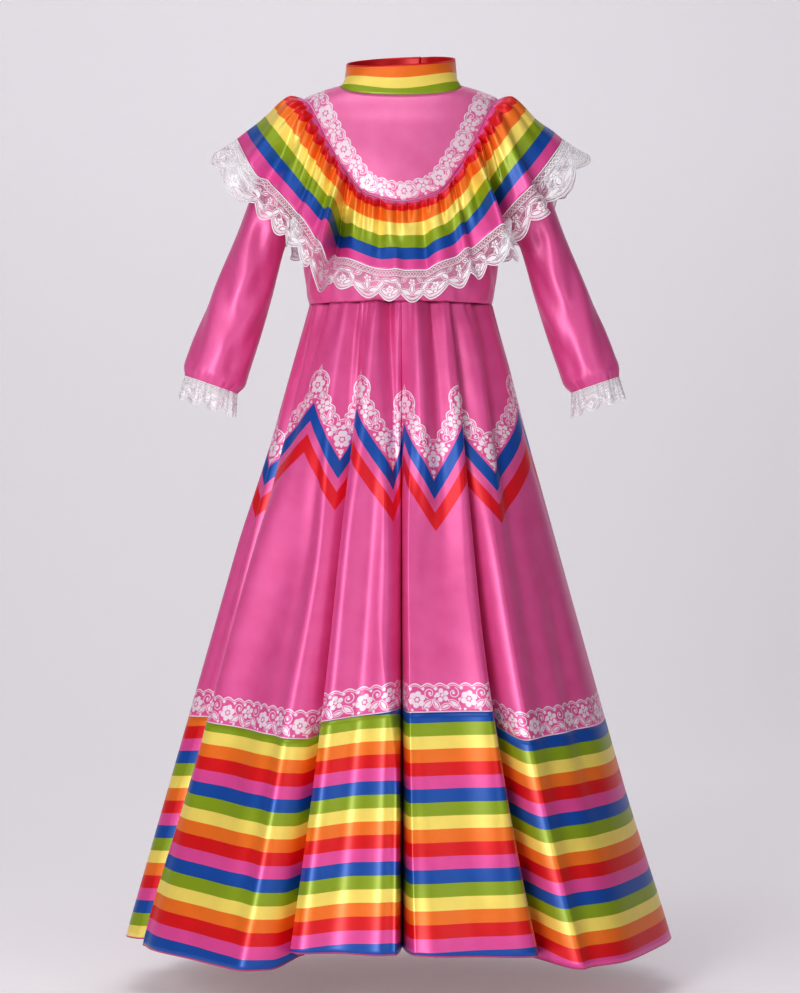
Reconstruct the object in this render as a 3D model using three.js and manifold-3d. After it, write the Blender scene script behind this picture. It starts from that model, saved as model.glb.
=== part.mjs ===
// A girl's Mexican folk dress, worn size for about nine years, filled out as it is when worn.
// It has a stand collar, a yoke, a gathered striped flounce round the shoulders with a lace edge,
// a bodice, three-quarter sleeves with lace at the cuffs, and a long flared skirt in four gores
// with a striped tier at the hem. Every cut piece is a thin wall of cloth of its own.
//
// Units are millimetres. +Z is up, the front faces -Y and +X is the wearer's left.
// The origin is the middle of the neck base, level with the tops of the shoulders.
import * as THREE from "three";
import { mergeVertices } from "three/addons/utils/BufferGeometryUtils.js";
import Module from "manifold-3d";

// Cloth and seams
const CLOTH = 1.6;
const COLLAR_CLOTH = 2.0;
const LACE_CLOTH = 1.2;
const SEAM_GAP = 0.3;
const TIER_GAP = 0.6; // upright, which leaves about a seam's gap where the tier seam slants
const YOKE_LEVEL = CLOTH + 2 * SEAM_GAP; // how far out the yoke and flounce lie, over the bodice

// Heights, from the origin at the neck base
const WAIST_Z = -252;
const HEM_Z = -975;
const NECK_FRONT_DROP = 19;
const NECK_BACK_RISE = 5;
const YOKE_OVERLAP = 3;

// Skirt cone: half width and half depths at the waist, and how fast they grow going down
const SKIRT = { width: 105.5, front: 80, back: 77, widen: 0.2795, deepen: 0.245 };

// The worn form under the bodice and yoke: half width and half depths at each drop below the origin.
const bodyRows = [
  { drop: -12, width: 57, front: 47, back: 50 },
  { drop: 0, width: 64, front: 50, back: 53 },
  { drop: 9, width: 92, front: 53, back: 57 },
  { drop: 16.5, width: 111, front: 56, back: 61 },
  { drop: 25, width: 124, front: 60, back: 66 },
  { drop: 38, width: 132, front: 65, back: 72 },
  { drop: 52, width: 134, front: 71, back: 77 },
  { drop: 90, width: 130, front: 82, back: 85 },
  { drop: 150, width: 119, front: 90, back: 87 },
  { drop: 200, width: 112.5, front: 88, back: 82 },
  { drop: 236, width: 108.5, front: 84, back: 79.5 },
  { drop: 252, width: 105.5, front: 80, back: 77 },
];

// The seam that the flounce hangs from, a deep U at the front and back. Angle 0 is the centre
// and 90 the shoulder. The edge columns are where the striped cloth of the flounce ends. The
// first and last rows mirror others, which carries the curve smoothly through 0 and 90.
const SHOULDER_SEAM = 16.5;
const flounceRows = [
  { angle: -14, seam: 136, edgeX: -34, edgeY: 117, edgeDrop: 217 },
  { angle: 0, seam: 142, edgeX: 0, edgeY: 118, edgeDrop: 221 },
  { angle: 14, seam: 136, edgeX: 34, edgeY: 117, edgeDrop: 217 },
  { angle: 22, seam: 127, edgeX: 58, edgeY: 112, edgeDrop: 206 },
  { angle: 30, seam: 103, edgeX: 84, edgeY: 102, edgeDrop: 183 },
  { angle: 38, seam: 72, edgeX: 112, edgeY: 86, edgeDrop: 154 },
  { angle: 45, seam: 44, edgeX: 135, edgeY: 70, edgeDrop: 130 },
  { angle: 54, seam: 28, edgeX: 157, edgeY: 50, edgeDrop: 104 },
  { angle: 70, seam: 19.5, edgeX: 177, edgeY: 25, edgeDrop: 76 },
  { angle: 90, seam: SHOULDER_SEAM, edgeX: 183, edgeY: 0, edgeDrop: 64 },
  { angle: 110, seam: 19.5, edgeX: 177, edgeY: -25, edgeDrop: 76 },
];
const BACK_SEAM_SHARE = 0.93; // the seam dips a little less at the back
const SHOULDER = 0.5; // the share of the way round, from the front centre, that is the shoulder

// Deep folds of the flounce. Place is the share of the way round, from the front centre to the
// back centre, negative towards -X. Depth and width are at the lower edge.
const flounceFolds = [
  { place: -0.405, depth: 13, width: 13 },
  { place: -0.165, depth: 15, width: 10 },
  { place: 0.295, depth: 16, width: 12 },
  { place: 0.395, depth: 12, width: 12 },
  { place: 0.58, depth: 10, width: 14 },
  { place: 0.76, depth: 13, width: 13 },
  { place: 0.93, depth: 11, width: 14 },
  { place: -0.87, depth: 14, width: 13 },
  { place: -0.71, depth: 11, width: 12 },
  { place: -0.57, depth: 12, width: 14 },
];
const FLOUNCE_FOLD_START = 0.1;
const FLOUNCE_ROOT = 0.14; // how far down the gathers are at their fullest
const FLOUNCE = { columns: 120, rows: [0, FLOUNCE_ROOT, 0.5, 1], edgeLength: 1150 };
const FLOUNCE_GATHERS = { count: 40, rise: 3.2, gone: 0.75 };
const FLOUNCE_RIPPLES = { count: 20, rise: 2.4, start: 0.2, phase: 1 };
const FLOUNCE_PUFF = { rise: 6.5, power: 0.6 };
const FLOUNCE_LACE = { depth: 40, scallops: 40, scallopDepth: 10 };

// Sleeve rails in the front view: the outer and inner edges of the sleeve from armhole to cuff,
// and its half depth. The first row is the armhole, and the cuff is at 1.
const sleeveRows = [
  { along: 0, outerX: 127.5, outerDrop: 28.4, innerX: 118.2, innerDrop: 147.6, depth: 45.6 },
  { along: 0.1, outerX: 137, outerDrop: 41, innerX: 121.6, innerDrop: 152, depth: 45 },
  { along: 0.2, outerX: 148, outerDrop: 66, innerX: 124, innerDrop: 158.5, depth: 42.5 },
  { along: 0.3, outerX: 160, outerDrop: 97, innerX: 127, innerDrop: 166, depth: 39 },
  { along: 0.4, outerX: 173, outerDrop: 131, innerX: 130.5, innerDrop: 177, depth: 35.5 },
  { along: 0.5, outerX: 187, outerDrop: 169, innerX: 135.5, innerDrop: 191, depth: 33 },
  { along: 0.7, outerX: 215.2, outerDrop: 238.3, innerX: 152.8, innerDrop: 259.7, depth: 34 },
  { along: 0.9, outerX: 240.6, outerDrop: 303.5, innerX: 173.4, innerDrop: 326.5, depth: 36 },
  { along: 0.96, outerX: 246, outerDrop: 322.8, innerX: 181, innerDrop: 345.2, depth: 35 },
  { along: 1, outerX: 246.8, outerDrop: 332.8, innerX: 187.2, innerDrop: 353.2, depth: 32 },
  { along: 1.05, outerX: 248.6, outerDrop: 342.4, innerX: 192.3, innerDrop: 361.8, depth: 30 },
];
const ARMHOLE = { drop: 88, halfHeight: 60, halfDepth: 46, plugFrom: 90, plugLength: 80 };
const ARMHOLE_GAP = 0.4;
const SLEEVE_HEAD = 0.035; // how far along the short neck is that stands in the armhole
const HEAD_NECK = { inside: -0.8, outside: 2.4 };
const SLEEVE = { columns: 20, rows: [0, SLEEVE_HEAD, 0.12, 0.26, 0.42, 0.6, 0.8, 0.95, 1] };
const SLEEVE_EASE = { ovalBy: 0.1, railsBy: 0.3, girthFrom: 0.2, girthBy: 0.6, forward: 14 };
const CUFF = { gathers: 10, rise: 1.1, from: 0.93 };
const sleeves = [
  { name: "sleeve_right", lace: "cuff_lace_right", side: -1, girth: 1.02, swing: 0 },
  { name: "sleeve_left", lace: "cuff_lace_left", side: 1, girth: 0.93, swing: 5 },
];
const CUFF_LACE = { columns: 40, length: 24, flare: 2.5, waves: 9, rise: 2, scallop: 4 };
const CUFF_HANG = { aimFrom: 0.8, plumb: 0.55 }; // along the sleeve from there, and part way to plumb

// Skirt folds. Each row is a rounded fold of cloth between two inward valleys, going round from
// the valley at its first angle, which bows by that many degrees half way up. Valley is how far
// that valley goes in at the hem. Out columns are how far the fold stands out at the hem at its
// two ends. Seam and hem columns are the drops of the tier seam and the hem at those ends.
const foldRows = [
  { angle: -70, bow: 0, valley: 38, outA: 2, outB: 9, seamA: 719, seamB: 735, hemA: 968, hemB: 976 },
  { angle: -25.5, bow: 2, valley: 58, outA: -7, outB: 2, seamA: 716, seamB: 700, hemA: 955, hemB: 954 },
  { angle: 0.3, bow: 0, valley: 58, outA: 2, outB: -2, seamA: 704, seamB: 703, hemA: 954, hemB: 962 },
  { angle: 34.5, bow: -5, valley: 64, outA: 8, outB: -4, seamA: 737, seamB: 720, hemA: 978, hemB: 971 },
  { angle: 96, bow: 0, valley: 46, outA: -2, outB: 5, seamA: 722, seamB: 722, hemA: 972, hemB: 970 },
  { angle: 139, bow: 2, valley: 55, outA: -4, outB: 4, seamA: 718, seamB: 714, hemA: 966, hemB: 966 },
  { angle: 181, bow: -2, valley: 60, outA: 3, outB: -4, seamA: 712, seamB: 718, hemA: 964, hemB: 968 },
  { angle: 217, bow: 2, valley: 52, outA: 5, outB: 2, seamA: 722, seamB: 724, hemA: 971, hemB: 973 },
  { angle: 252, bow: 0, valley: 45, outA: 0, outB: 4, seamA: 723, seamB: 719, hemA: 972, hemB: 966 },
];
const FOLD = { columns: 16, crowd: 0.8, wall: 0.15, ripples: 2.5, rippleRise: 4 };
const FOLD_AT_WAIST = { crowd: 0.2, wall: 0.3 };
const FOLD_FORMED = 0.45; // the share of the way down where the folds are as narrow as at the hem
const FOLD_FACE = { from: 0.1, to: 0.3 }; // the flat face starts this far in from each valley
const WAIST_GATHERS = { perFold: 4, rise: 1.5, fade: 85 };
const SKIRT_ROWS = [0, 0.07, 0.2, 0.4, 0.62, 0.82, 1];
const TIER_ROWS = [0, 0.5, 1];
const gores = [
  { name: "front_right", first: 0, folds: 2 },
  { name: "front_left", first: 2, folds: 2 },
  { name: "back_left", first: 4, folds: 2 },
  { name: "back_right", first: 6, folds: 3 },
];

const BODICE = { columns: 32, rows: [0, 0.05, 0.11, 0.22, 0.38, 0.6, 0.85, 1] };
const BODICE_GATHERS = { count: 32, rise: 1.2, fade: 45 };
const YOKE_ROWS = [0, 0.25, 0.5, 0.75, 1];

// Collar: half width and half depths at its top edge, and the heights of that edge
const COLLAR = { width: 62.6, front: 52.5, back: 50, middle: 29.5, tilt: 12.5, lean: 3 };
const COLLAR_GRID = { columns: 40, rows: [0, 0.5, 1] };

// The lap of the collar at the back, in degrees: how far the under layer goes past the centre,
// how far short of it the upper layer stops, and where the upper layer rises over the other
const LAP = { under: 21.5, short: 2, riseFrom: 140, riseTo: 154, rise: 2.4 };

const TURN = Math.PI / 180;
const HALF_TURN = 180;
const FULL_TURN = 360;
const SIDE = 90;
const { lerp: mix, smoothstep: ease, clamp } = THREE.MathUtils;

// Reads a column of a table at a place along its key column, on a smooth curve through the rows
// that runs level at both ends.
function read(rows, key, column, at) {
  const last = rows.length - 1;
  if (at <= rows[0][key]) return rows[0][column];
  if (at >= rows[last][key]) return rows[last][column];
  let i = 0;
  while (at > rows[i + 1][key]) i += 1;
  const slope = (j) =>
    j === 0 || j === last
      ? 0
      : (rows[j + 1][column] - rows[j - 1][column]) / (rows[j + 1][key] - rows[j - 1][key]);
  const span = rows[i + 1][key] - rows[i][key];
  const t = (at - rows[i][key]) / span;
  const t2 = t * t;
  const t3 = t2 * t;
  return (
    (2 * t3 - 3 * t2 + 1) * rows[i][column] +
    (t3 - 2 * t2 + t) * span * slope(i) +
    (3 * t2 - 2 * t3) * rows[i + 1][column] +
    (t3 - t2) * span * slope(i + 1)
  );
}

const evenly = (from, to, count) =>
  Array.from({ length: count + 1 }, (_, i) => mix(from, to, i / count));

// A surface's directions along it, and outward from it, from points a little way to each side.
const STEP = 1e-4;
const alongside = (surface, u, v) => surface(u + STEP, v).sub(surface(u - STEP, v)).normalize();
const downward = (surface, u, v) => surface(u, v + STEP).sub(surface(u, v - STEP)).normalize();
const outward = (surface, u, v, facing = 1) =>
  downward(surface, u, v).cross(alongside(surface, u, v)).normalize().multiplyScalar(facing);

// A closed wall of cloth. Surface(u, v) is its outer face, with u going round from the front
// towards +X and v going down. Level moves it out and inset draws its two ends in, which leaves
// a gap at a seam. A ring joins up with itself. Through gives the way through the cloth.
function wall(surface, options) {
  const { us, vs, thick, level = 0, facing = 1, ring = false, inset = 0 } = options;
  const { through = (u, v) => outward(surface, u, v, facing) } = options;
  const points = [];
  const columns = ring ? us.slice(0, -1) : us;
  for (const u of columns) {
    const pull = ring ? 0 : inset * ((u === us[0]) - (u === us[us.length - 1]));
    for (const v of vs) {
      const out = through(u, v);
      const skin = surface(u, v).addScaledVector(out, level);
      skin.addScaledVector(alongside(surface, u, v), pull);
      points.push(...skin.toArray(), ...skin.addScaledVector(out, -thick).toArray());
    }
  }
  const rows = vs.length;
  const at = (i, j, inner) => 2 * ((i % columns.length) * rows + j) + inner;
  const index = [];
  const quad = (a, b, c, d) => {
    if (facing > 0) index.push(a, b, c, a, c, d);
    else index.push(a, c, b, a, d, c);
  };
  const last = us.length - 1;
  for (let i = 0; i < last; i += 1) {
    for (let j = 0; j < rows - 1; j += 1) {
      quad(at(i, j, 0), at(i, j + 1, 0), at(i + 1, j + 1, 0), at(i + 1, j, 0));
      quad(at(i, j, 1), at(i + 1, j, 1), at(i + 1, j + 1, 1), at(i, j + 1, 1));
    }
    quad(at(i, 0, 0), at(i + 1, 0, 0), at(i + 1, 0, 1), at(i, 0, 1));
    quad(at(i, rows - 1, 0), at(i, rows - 1, 1), at(i + 1, rows - 1, 1), at(i + 1, rows - 1, 0));
  }
  if (!ring) {
    for (let j = 0; j < rows - 1; j += 1) {
      quad(at(0, j, 0), at(0, j, 1), at(0, j + 1, 1), at(0, j + 1, 0));
      quad(at(last, j, 0), at(last, j + 1, 0), at(last, j + 1, 1), at(last, j, 1));
    }
  }
  const geometry = new THREE.BufferGeometry();
  geometry.setAttribute("position", new THREE.Float32BufferAttribute(points, 3));
  geometry.setIndex(index);
  geometry.computeVertexNormals();
  return geometry;
}

// The worn form. Angles are in degrees: 0 is the front centre and 90 the +X side.
function bodyPoint(angle, z) {
  const a = angle * TURN;
  const depth = read(bodyRows, "drop", Math.cos(a) > 0 ? "front" : "back", -z);
  const width = read(bodyRows, "drop", "width", -z);
  return new THREE.Vector3(width * Math.sin(a), -depth * Math.cos(a), z);
}

const neckZ = (angle) => {
  const c = Math.cos(angle * TURN);
  return c > 0 ? -NECK_FRONT_DROP * c * c : NECK_BACK_RISE * c * c;
};

// The angle from the nearer of the front and back centres, from 0 to 90.
function quarterAngle(angle) {
  const a = Math.abs(((angle + FULL_TURN + HALF_TURN) % FULL_TURN) - HALF_TURN);
  return a > SIDE ? HALF_TURN - a : a;
}

const isBack = (angle) => Math.cos(angle * TURN) < 0;

function seamZ(angle) {
  const dip = read(flounceRows, "angle", "seam", quarterAngle(angle)) - SHOULDER_SEAM;
  return -SHOULDER_SEAM - dip * (isBack(angle) ? BACK_SEAM_SHARE : 1);
}

// Yoke: from the neckline down to the flounce seam
const yokeSurface = (angle, t) => bodyPoint(angle, mix(neckZ(angle), seamZ(angle), t));

const level = (point) => new THREE.Vector3(point.x, point.y, 0).normalize();

// Bodice: from under the yoke's lower edge down to the waist, gathered into the waist seam
function bodiceSurface(angle, t) {
  const z = mix(seamZ(angle) + YOKE_OVERLAP, WAIST_Z + SEAM_GAP / 2, t);
  const near = 1 - ease(z - WAIST_Z, 0, BODICE_GATHERS.fade);
  const gather = near * BODICE_GATHERS.rise * Math.cos(angle * TURN * BODICE_GATHERS.count);
  const point = bodyPoint(angle, z);
  return point.addScaledVector(level(point), gather);
}

// Collar: a band standing on the neckline, with its ends lapped at the back
function collarSurface(angle, t) {
  const a = angle * TURN;
  const foot = bodyPoint(angle, neckZ(angle));
  foot.addScaledVector(outward(yokeSurface, angle, 0), YOKE_LEVEL);
  foot.z += SEAM_GAP;
  const depth = Math.cos(a) > 0 ? COLLAR.front : COLLAR.back;
  const top = new THREE.Vector3(
    COLLAR.width * Math.sin(a),
    -depth * Math.cos(a),
    COLLAR.middle - COLLAR.tilt * Math.cos(a) + COLLAR.lean * Math.sin(a),
  );
  const point = top.lerp(foot, t);
  return point.addScaledVector(level(point), LAP.rise * ease(angle, LAP.riseFrom, LAP.riseTo));
}

// Places along the flounce seam, evenly spaced by length: share 0 is the front centre, 0.5 the
// +X shoulder and 1 the back centre, and negative shares go the other way.
const seamLengths = [0];
const SEAM_SAMPLES = 360;
for (let i = 1; i <= SEAM_SAMPLES; i += 1) {
  const [a, b] = [i - 1, i].map((k) => (HALF_TURN * k) / SEAM_SAMPLES);
  const step = bodyPoint(a, seamZ(a)).distanceTo(bodyPoint(b, seamZ(b)));
  seamLengths.push(seamLengths[i - 1] + step);
}

const wrapShare = (share) => (Math.abs(share) > 1 ? share - 2 * Math.sign(share) : share);

function seamAngle(place) {
  const share = wrapShare(place);
  const reach = Math.abs(share) * seamLengths[SEAM_SAMPLES];
  let i = 1;
  while (i < SEAM_SAMPLES && seamLengths[i] < reach) i += 1;
  const part = (reach - seamLengths[i - 1]) / (seamLengths[i] - seamLengths[i - 1]);
  return (Math.sign(share) * HALF_TURN * (i - 1 + part)) / SEAM_SAMPLES;
}

// The flounce before it is gathered: straight from its seam to its edge, and on past it.
function flounceBase(share, v) {
  const angle = seamAngle(share);
  const seam = bodyPoint(angle, seamZ(angle));
  seam.z -= SEAM_GAP;
  const quarter = quarterAngle(angle);
  const [x, y, drop] = ["edgeX", "edgeY", "edgeDrop"].map((c) =>
    read(flounceRows, "angle", c, quarter),
  );
  const edge = new THREE.Vector3(Math.sign(angle) * x, isBack(angle) ? y : -y, -drop);
  return seam.lerp(edge, v);
}

// The way through the flounce's cloth: as the yoke's at the seam, and its own further down.
function flounceThrough(share, v) {
  const own = outward(flounceSurface, share, v);
  return v > 0 ? own : outward(yokeSurface, seamAngle(share), 1);
}

// How far the deep folds draw the edge of the flounce in at a share of the way round.
function foldDraw(share) {
  let draw = 0;
  for (const { place, depth, width } of flounceFolds) {
    const apart = ((((share - place + 3) % 2) - 1) * FLOUNCE.edgeLength) / 2;
    draw += depth * Math.exp(-((apart / width) ** 2));
  }
  return draw;
}

// The gathered flounce: it puffs out below its seam, and falls in folds and ripples.
function flounceSurface(share, v) {
  const turn = share * Math.PI;
  const gather = 0.5 + 0.5 * Math.cos(turn * FLOUNCE_GATHERS.count);
  const full = ease(v, 0, FLOUNCE_ROOT) * (1 - ease(v, FLOUNCE_ROOT, FLOUNCE_GATHERS.gone));
  const ripple = 0.5 + 0.5 * Math.sin(turn * FLOUNCE_RIPPLES.count + FLOUNCE_RIPPLES.phase);
  const puff = Math.sin(Math.PI * clamp(v, 0, 1) ** FLOUNCE_PUFF.power);
  let lift = YOKE_LEVEL + FLOUNCE_PUFF.rise * puff;
  lift += FLOUNCE_GATHERS.rise * gather * full;
  lift += FLOUNCE_RIPPLES.rise * ripple * ease(v, FLOUNCE_RIPPLES.start, 1);
  lift -= foldDraw(share) * ease(v, FLOUNCE_FOLD_START, 1);
  const out = outward(yokeSurface, seamAngle(share), 1);
  out.lerp(outward(flounceBase, share, v), ease(v, 0, FLOUNCE_ROOT)).normalize();
  return flounceBase(share, v).addScaledVector(out, lift);
}

// The lace edge of the flounce, in the same folds, cut to scallops
function flounceLaceSurface(share, t) {
  const length = flounceBase(share, 0).distanceTo(flounceBase(share, 1));
  const wave = Math.abs(Math.sin((share * FLOUNCE_LACE.scallops * Math.PI) / 2));
  const depth = FLOUNCE_LACE.depth - FLOUNCE_LACE.scallopDepth * (1 - wave);
  return flounceSurface(share, 1 + (SEAM_GAP + depth * t) / length);
}

// Sleeves. The armhole is an ellipse in the side view, cut out of the curved side of the bodice.
const armholePoint = (psi, shrink) => ({
  y: (ARMHOLE.halfDepth - shrink) * Math.cos(psi),
  z: -ARMHOLE.drop + (ARMHOLE.halfHeight - shrink) * Math.sin(psi),
});

// How far out the side of the bodice is at a depth and height.
function bodyWidthAt(y, z) {
  const depth = read(bodyRows, "drop", y < 0 ? "front" : "back", -z);
  return read(bodyRows, "drop", "width", -z) * Math.sqrt(Math.max(0, 1 - (y / depth) ** 2));
}

// A sleeve on one side: it starts as a short neck in the armhole, and becomes an oval tube
// between its two rails, drawn in a little at the cuff.
function sleeveSurface({ side, girth, swing }) {
  return (turn, along) => {
    const psi = turn * TURN;
    const rail = (column) => read(sleeveRows, "along", column, along);
    const middleX = (rail("outerX") + rail("innerX")) / 2;
    const middleZ = -(rail("outerDrop") + rail("innerDrop")) / 2;
    const halfX = (rail("outerX") - rail("innerX")) / 2;
    const halfZ = (rail("innerDrop") - rail("outerDrop")) / 2;
    const draw = (ease(along, CUFF.from, 1) * CUFF.rise * Math.cos(psi * CUFF.gathers));
    const slim = mix(1, girth, ease(along, SLEEVE_EASE.girthFrom, SLEEVE_EASE.girthBy));
    const size = slim * (1 + draw / rail("depth"));
    const tube = new THREE.Vector3(
      middleX + halfX * size * Math.sin(psi) + swing * along * along,
      rail("depth") * size * Math.cos(psi),
      middleZ + halfZ * size * Math.sin(psi),
    );
    const hole = armholePoint(psi, ARMHOLE_GAP);
    const atBody = 1 - ease(along, SLEEVE_HEAD, SLEEVE_EASE.railsBy);
    const bodyX = bodyWidthAt(hole.y, hole.z) - (middleX + halfX * Math.sin(psi));
    const neck = mix(HEAD_NECK.inside, HEAD_NECK.outside, along / SLEEVE_HEAD);
    const round = ease(along, SLEEVE_HEAD, SLEEVE_EASE.ovalBy);
    return new THREE.Vector3(
      side * (tube.x + (bodyX + neck) * atBody),
      mix(hole.y, tube.y, round) - SLEEVE_EASE.forward * ease(along, SLEEVE_EASE.ovalBy, 1),
      mix(hole.z, tube.z, round),
    );
  };
}

// Lace at the cuff: it carries on from the rim of the sleeve, flared and waved
function cuffLaceSurface(sleeve) {
  const cloth = sleeveSurface(sleeve);
  const middle = (along) => cloth(0, along).add(cloth(HALF_TURN, along)).multiplyScalar(0.5);
  const centre = middle(1);
  const down = centre.clone().sub(middle(CUFF_HANG.aimFrom)).normalize();
  down.lerp(new THREE.Vector3(0, 0, -1), CUFF_HANG.plumb).normalize();
  return (turn, t) => {
    const rim = cloth(turn, 1);
    const out = rim.clone().sub(centre).normalize();
    const wave = Math.cos(turn * TURN * CUFF_LACE.waves);
    const length = CUFF_LACE.length + CUFF_LACE.scallop * wave;
    return rim
      .addScaledVector(down, SEAM_GAP + length * t)
      .addScaledVector(out, t * (CUFF_LACE.flare + CUFF_LACE.rise * wave));
  };
}

// Skirt. Around counts folds: 0 is the first valley, and each whole number the next one.
function foldAt(around) {
  const count = foldRows.length;
  const whole = Math.floor(around);
  const number = ((whole % count) + count) % count;
  const turns = FULL_TURN * Math.floor(whole / count);
  const next = foldRows[(number + 1) % count];
  const before = foldRows[(number + count - 1) % count];
  const start = foldRows[number].angle + turns;
  const end = next.angle + turns + (number + 1 === count ? FULL_TURN : 0);
  return { fold: foldRows[number], next, before, start, end, t: around - whole };
}

// A size that each fold has at its two ends, eased across the valleys between folds.
function foldSize(around, a, b) {
  const { fold, next, before, t } = foldAt(around);
  const atStart = (before[b] - fold[a]) / 2;
  const atEnd = (next[a] - fold[b]) / 2;
  return (
    mix(fold[a], fold[b], ease(t, 0, 1)) +
    atStart * (1 - ease(t, 0, FOLD.wall)) +
    atEnd * ease(t, 1 - FOLD.wall, 1)
  );
}

const tierSeamZ = (around) => -foldSize(around, "seamA", "seamB");
const hemZ = (around) => -foldSize(around, "hemA", "hemB");

// A point of the skirt and its tier: a cone of cloth, drawn in at each valley, with a slight
// ripple on the face of each fold, and small gathers below the waist.
function skirtPoint(around, z) {
  const { fold, next, start, end, t } = foldAt(around);
  const down = WAIST_Z - z;
  const share = down / (WAIST_Z - HEM_Z);
  const formed = ease(share, 0, FOLD_FORMED);
  const crowd = mix(FOLD_AT_WAIST.crowd, FOLD.crowd, formed) / (2 * Math.PI);
  const wall = mix(FOLD_AT_WAIST.wall, FOLD.wall, formed);
  const bow = Math.sin(Math.PI * share);
  const across = t - crowd * Math.sin(2 * Math.PI * t);
  const a = mix(start + fold.bow * bow, end + next.bow * bow, across) * TURN;
  const depth = (Math.cos(a) > 0 ? SKIRT.front : SKIRT.back) + SKIRT.deepen * down;
  const width = SKIRT.width + SKIRT.widen * down;
  const point = new THREE.Vector3(width * Math.sin(a), -depth * Math.cos(a), z);
  const valley = fold.valley * (1 - ease(t, 0, wall)) + next.valley * ease(t, 1 - wall, 1);
  const face = ease(Math.min(t, 1 - t), FOLD_FACE.from, FOLD_FACE.to);
  const ripple = FOLD.rippleRise * face * Math.cos(2 * Math.PI * FOLD.ripples * (t - 0.5));
  const near = 1 - ease(down, 0, WAIST_GATHERS.fade);
  const gather = WAIST_GATHERS.rise * near * Math.cos(2 * Math.PI * WAIST_GATHERS.perFold * t);
  const lift = share * (foldSize(around, "outA", "outB") - valley - ripple) + gather;
  return point.addScaledVector(level(point), lift);
}

const skirtSurface = (around, t) =>
  skirtPoint(around, mix(WAIST_Z - SEAM_GAP / 2, tierSeamZ(around) + TIER_GAP / 2, t));
const tierSurface = (around, t) =>
  skirtPoint(around, mix(tierSeamZ(around) - TIER_GAP / 2, hemZ(around), t));

// Cloths
const cloth = (color, roughness) => new THREE.MeshStandardMaterial({ color, roughness, metalness: 0 });
const pinkSatin = cloth(0xd9468c, 0.42);
const stripedSatin = cloth(0xe8a23a, 0.4);
const whiteLace = cloth(0xf2eef0, 0.8);

// Joining and cutting
const wasm = await Module();
wasm.setup();

function solidOf(geometry) {
  const bare = geometry.clone();
  bare.deleteAttribute("normal");
  bare.deleteAttribute("uv");
  const merged = mergeVertices(bare, 1e-4);
  return new wasm.Manifold(
    new wasm.Mesh({
      numProp: 3,
      vertProperties: merged.attributes.position.array,
      triVerts: new Uint32Array(merged.index.array),
    }),
  );
}

function geometryOf(solid) {
  const made = solid.getMesh();
  const geometry = new THREE.BufferGeometry();
  geometry.setAttribute("position", new THREE.Float32BufferAttribute(made.vertProperties, 3));
  geometry.setIndex(Array.from(made.triVerts));
  geometry.computeVertexNormals();
  return geometry;
}

// A plug through the armhole on one side, with as many sides as the sleeve has columns.
function armholePlug(side) {
  const turns = evenly(0, FULL_TURN, SLEEVE.columns).slice(0, -1);
  const outline = turns.map((turn) => {
    const { y, z } = armholePoint(turn * TURN, 0);
    return new THREE.Vector2(y, z);
  });
  const plug = new THREE.ExtrudeGeometry(new THREE.Shape(outline), {
    depth: ARMHOLE.plugLength,
    bevelEnabled: false,
  });
  const basis = new THREE.Matrix4().makeBasis(
    new THREE.Vector3(0, 1, 0),
    new THREE.Vector3(0, 0, 1),
    new THREE.Vector3(1, 0, 0),
  );
  plug.applyMatrix4(basis);
  plug.translate(side > 0 ? ARMHOLE.plugFrom : -ARMHOLE.plugFrom - ARMHOLE.plugLength, 0, 0);
  return plug;
}

const dress = new THREE.Group();

function sew(name, geometry, material) {
  const piece = new THREE.Mesh(geometry, material);
  piece.name = name;
  dress.add(piece);
}

// Collar
sew(
  "collar",
  wall(collarSurface, {
    us: evenly(-HALF_TURN - LAP.under, HALF_TURN - LAP.short, COLLAR_GRID.columns),
    vs: COLLAR_GRID.rows,
    thick: COLLAR_CLOTH,
  }),
  stripedSatin,
);

// Yoke, with its back parted at the centre
const seam = { inset: SEAM_GAP / 2 };
const shares = (from, to) => evenly(from, to, Math.round(((to - from) * FLOUNCE.columns) / 2));
const yokes = [
  { name: "yoke_front", from: -SHOULDER, to: SHOULDER },
  { name: "yoke_back_left", from: SHOULDER, to: 1 },
  { name: "yoke_back_right", from: -1, to: -SHOULDER },
];
for (const { name, from, to } of yokes) {
  const us = shares(from, to).map(seamAngle);
  const shape = { us, vs: YOKE_ROWS, thick: CLOTH, level: YOKE_LEVEL, ...seam };
  sew(name, wall(yokeSurface, shape), pinkSatin);
}

// Bodice, with its armholes cut
const plugs = [1, -1].map((side) => solidOf(armholePlug(side)));
for (const [name, from] of [["bodice_front", -SIDE], ["bodice_back", SIDE]]) {
  const us = evenly(from, from + HALF_TURN, BODICE.columns);
  const whole = wall(bodiceSurface, { us, vs: BODICE.rows, thick: CLOTH, ...seam });
  const cut = plugs.reduce((solid, plug) => solid.subtract(plug), solidOf(whole));
  sew(name, geometryOf(cut), pinkSatin);
}

// Flounce and its lace, front and back, joined at the shoulders
for (const [half, from] of [["front", -SHOULDER], ["back", SHOULDER]]) {
  const us = shares(from, from + 1);
  const striped = { us, vs: FLOUNCE.rows, thick: CLOTH, through: flounceThrough, ...seam };
  sew("flounce_" + half, wall(flounceSurface, striped), stripedSatin);
  const lace = { us, vs: [0, 1], thick: LACE_CLOTH, ...seam };
  sew("flounce_lace_" + half, wall(flounceLaceSurface, lace), whiteLace);
}

// Sleeves and cuff lace
for (const sleeve of sleeves) {
  const ring = (columns) => ({
    us: evenly(0, FULL_TURN, columns),
    ring: true,
    facing: -sleeve.side,
  });
  const tube = { ...ring(SLEEVE.columns), vs: SLEEVE.rows, thick: CLOTH };
  sew(sleeve.name, wall(sleeveSurface(sleeve), tube), pinkSatin);
  const frill = { ...ring(CUFF_LACE.columns), vs: [0, 1], thick: LACE_CLOTH };
  sew(sleeve.lace, wall(cuffLaceSurface(sleeve), frill), whiteLace);
}

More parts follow.
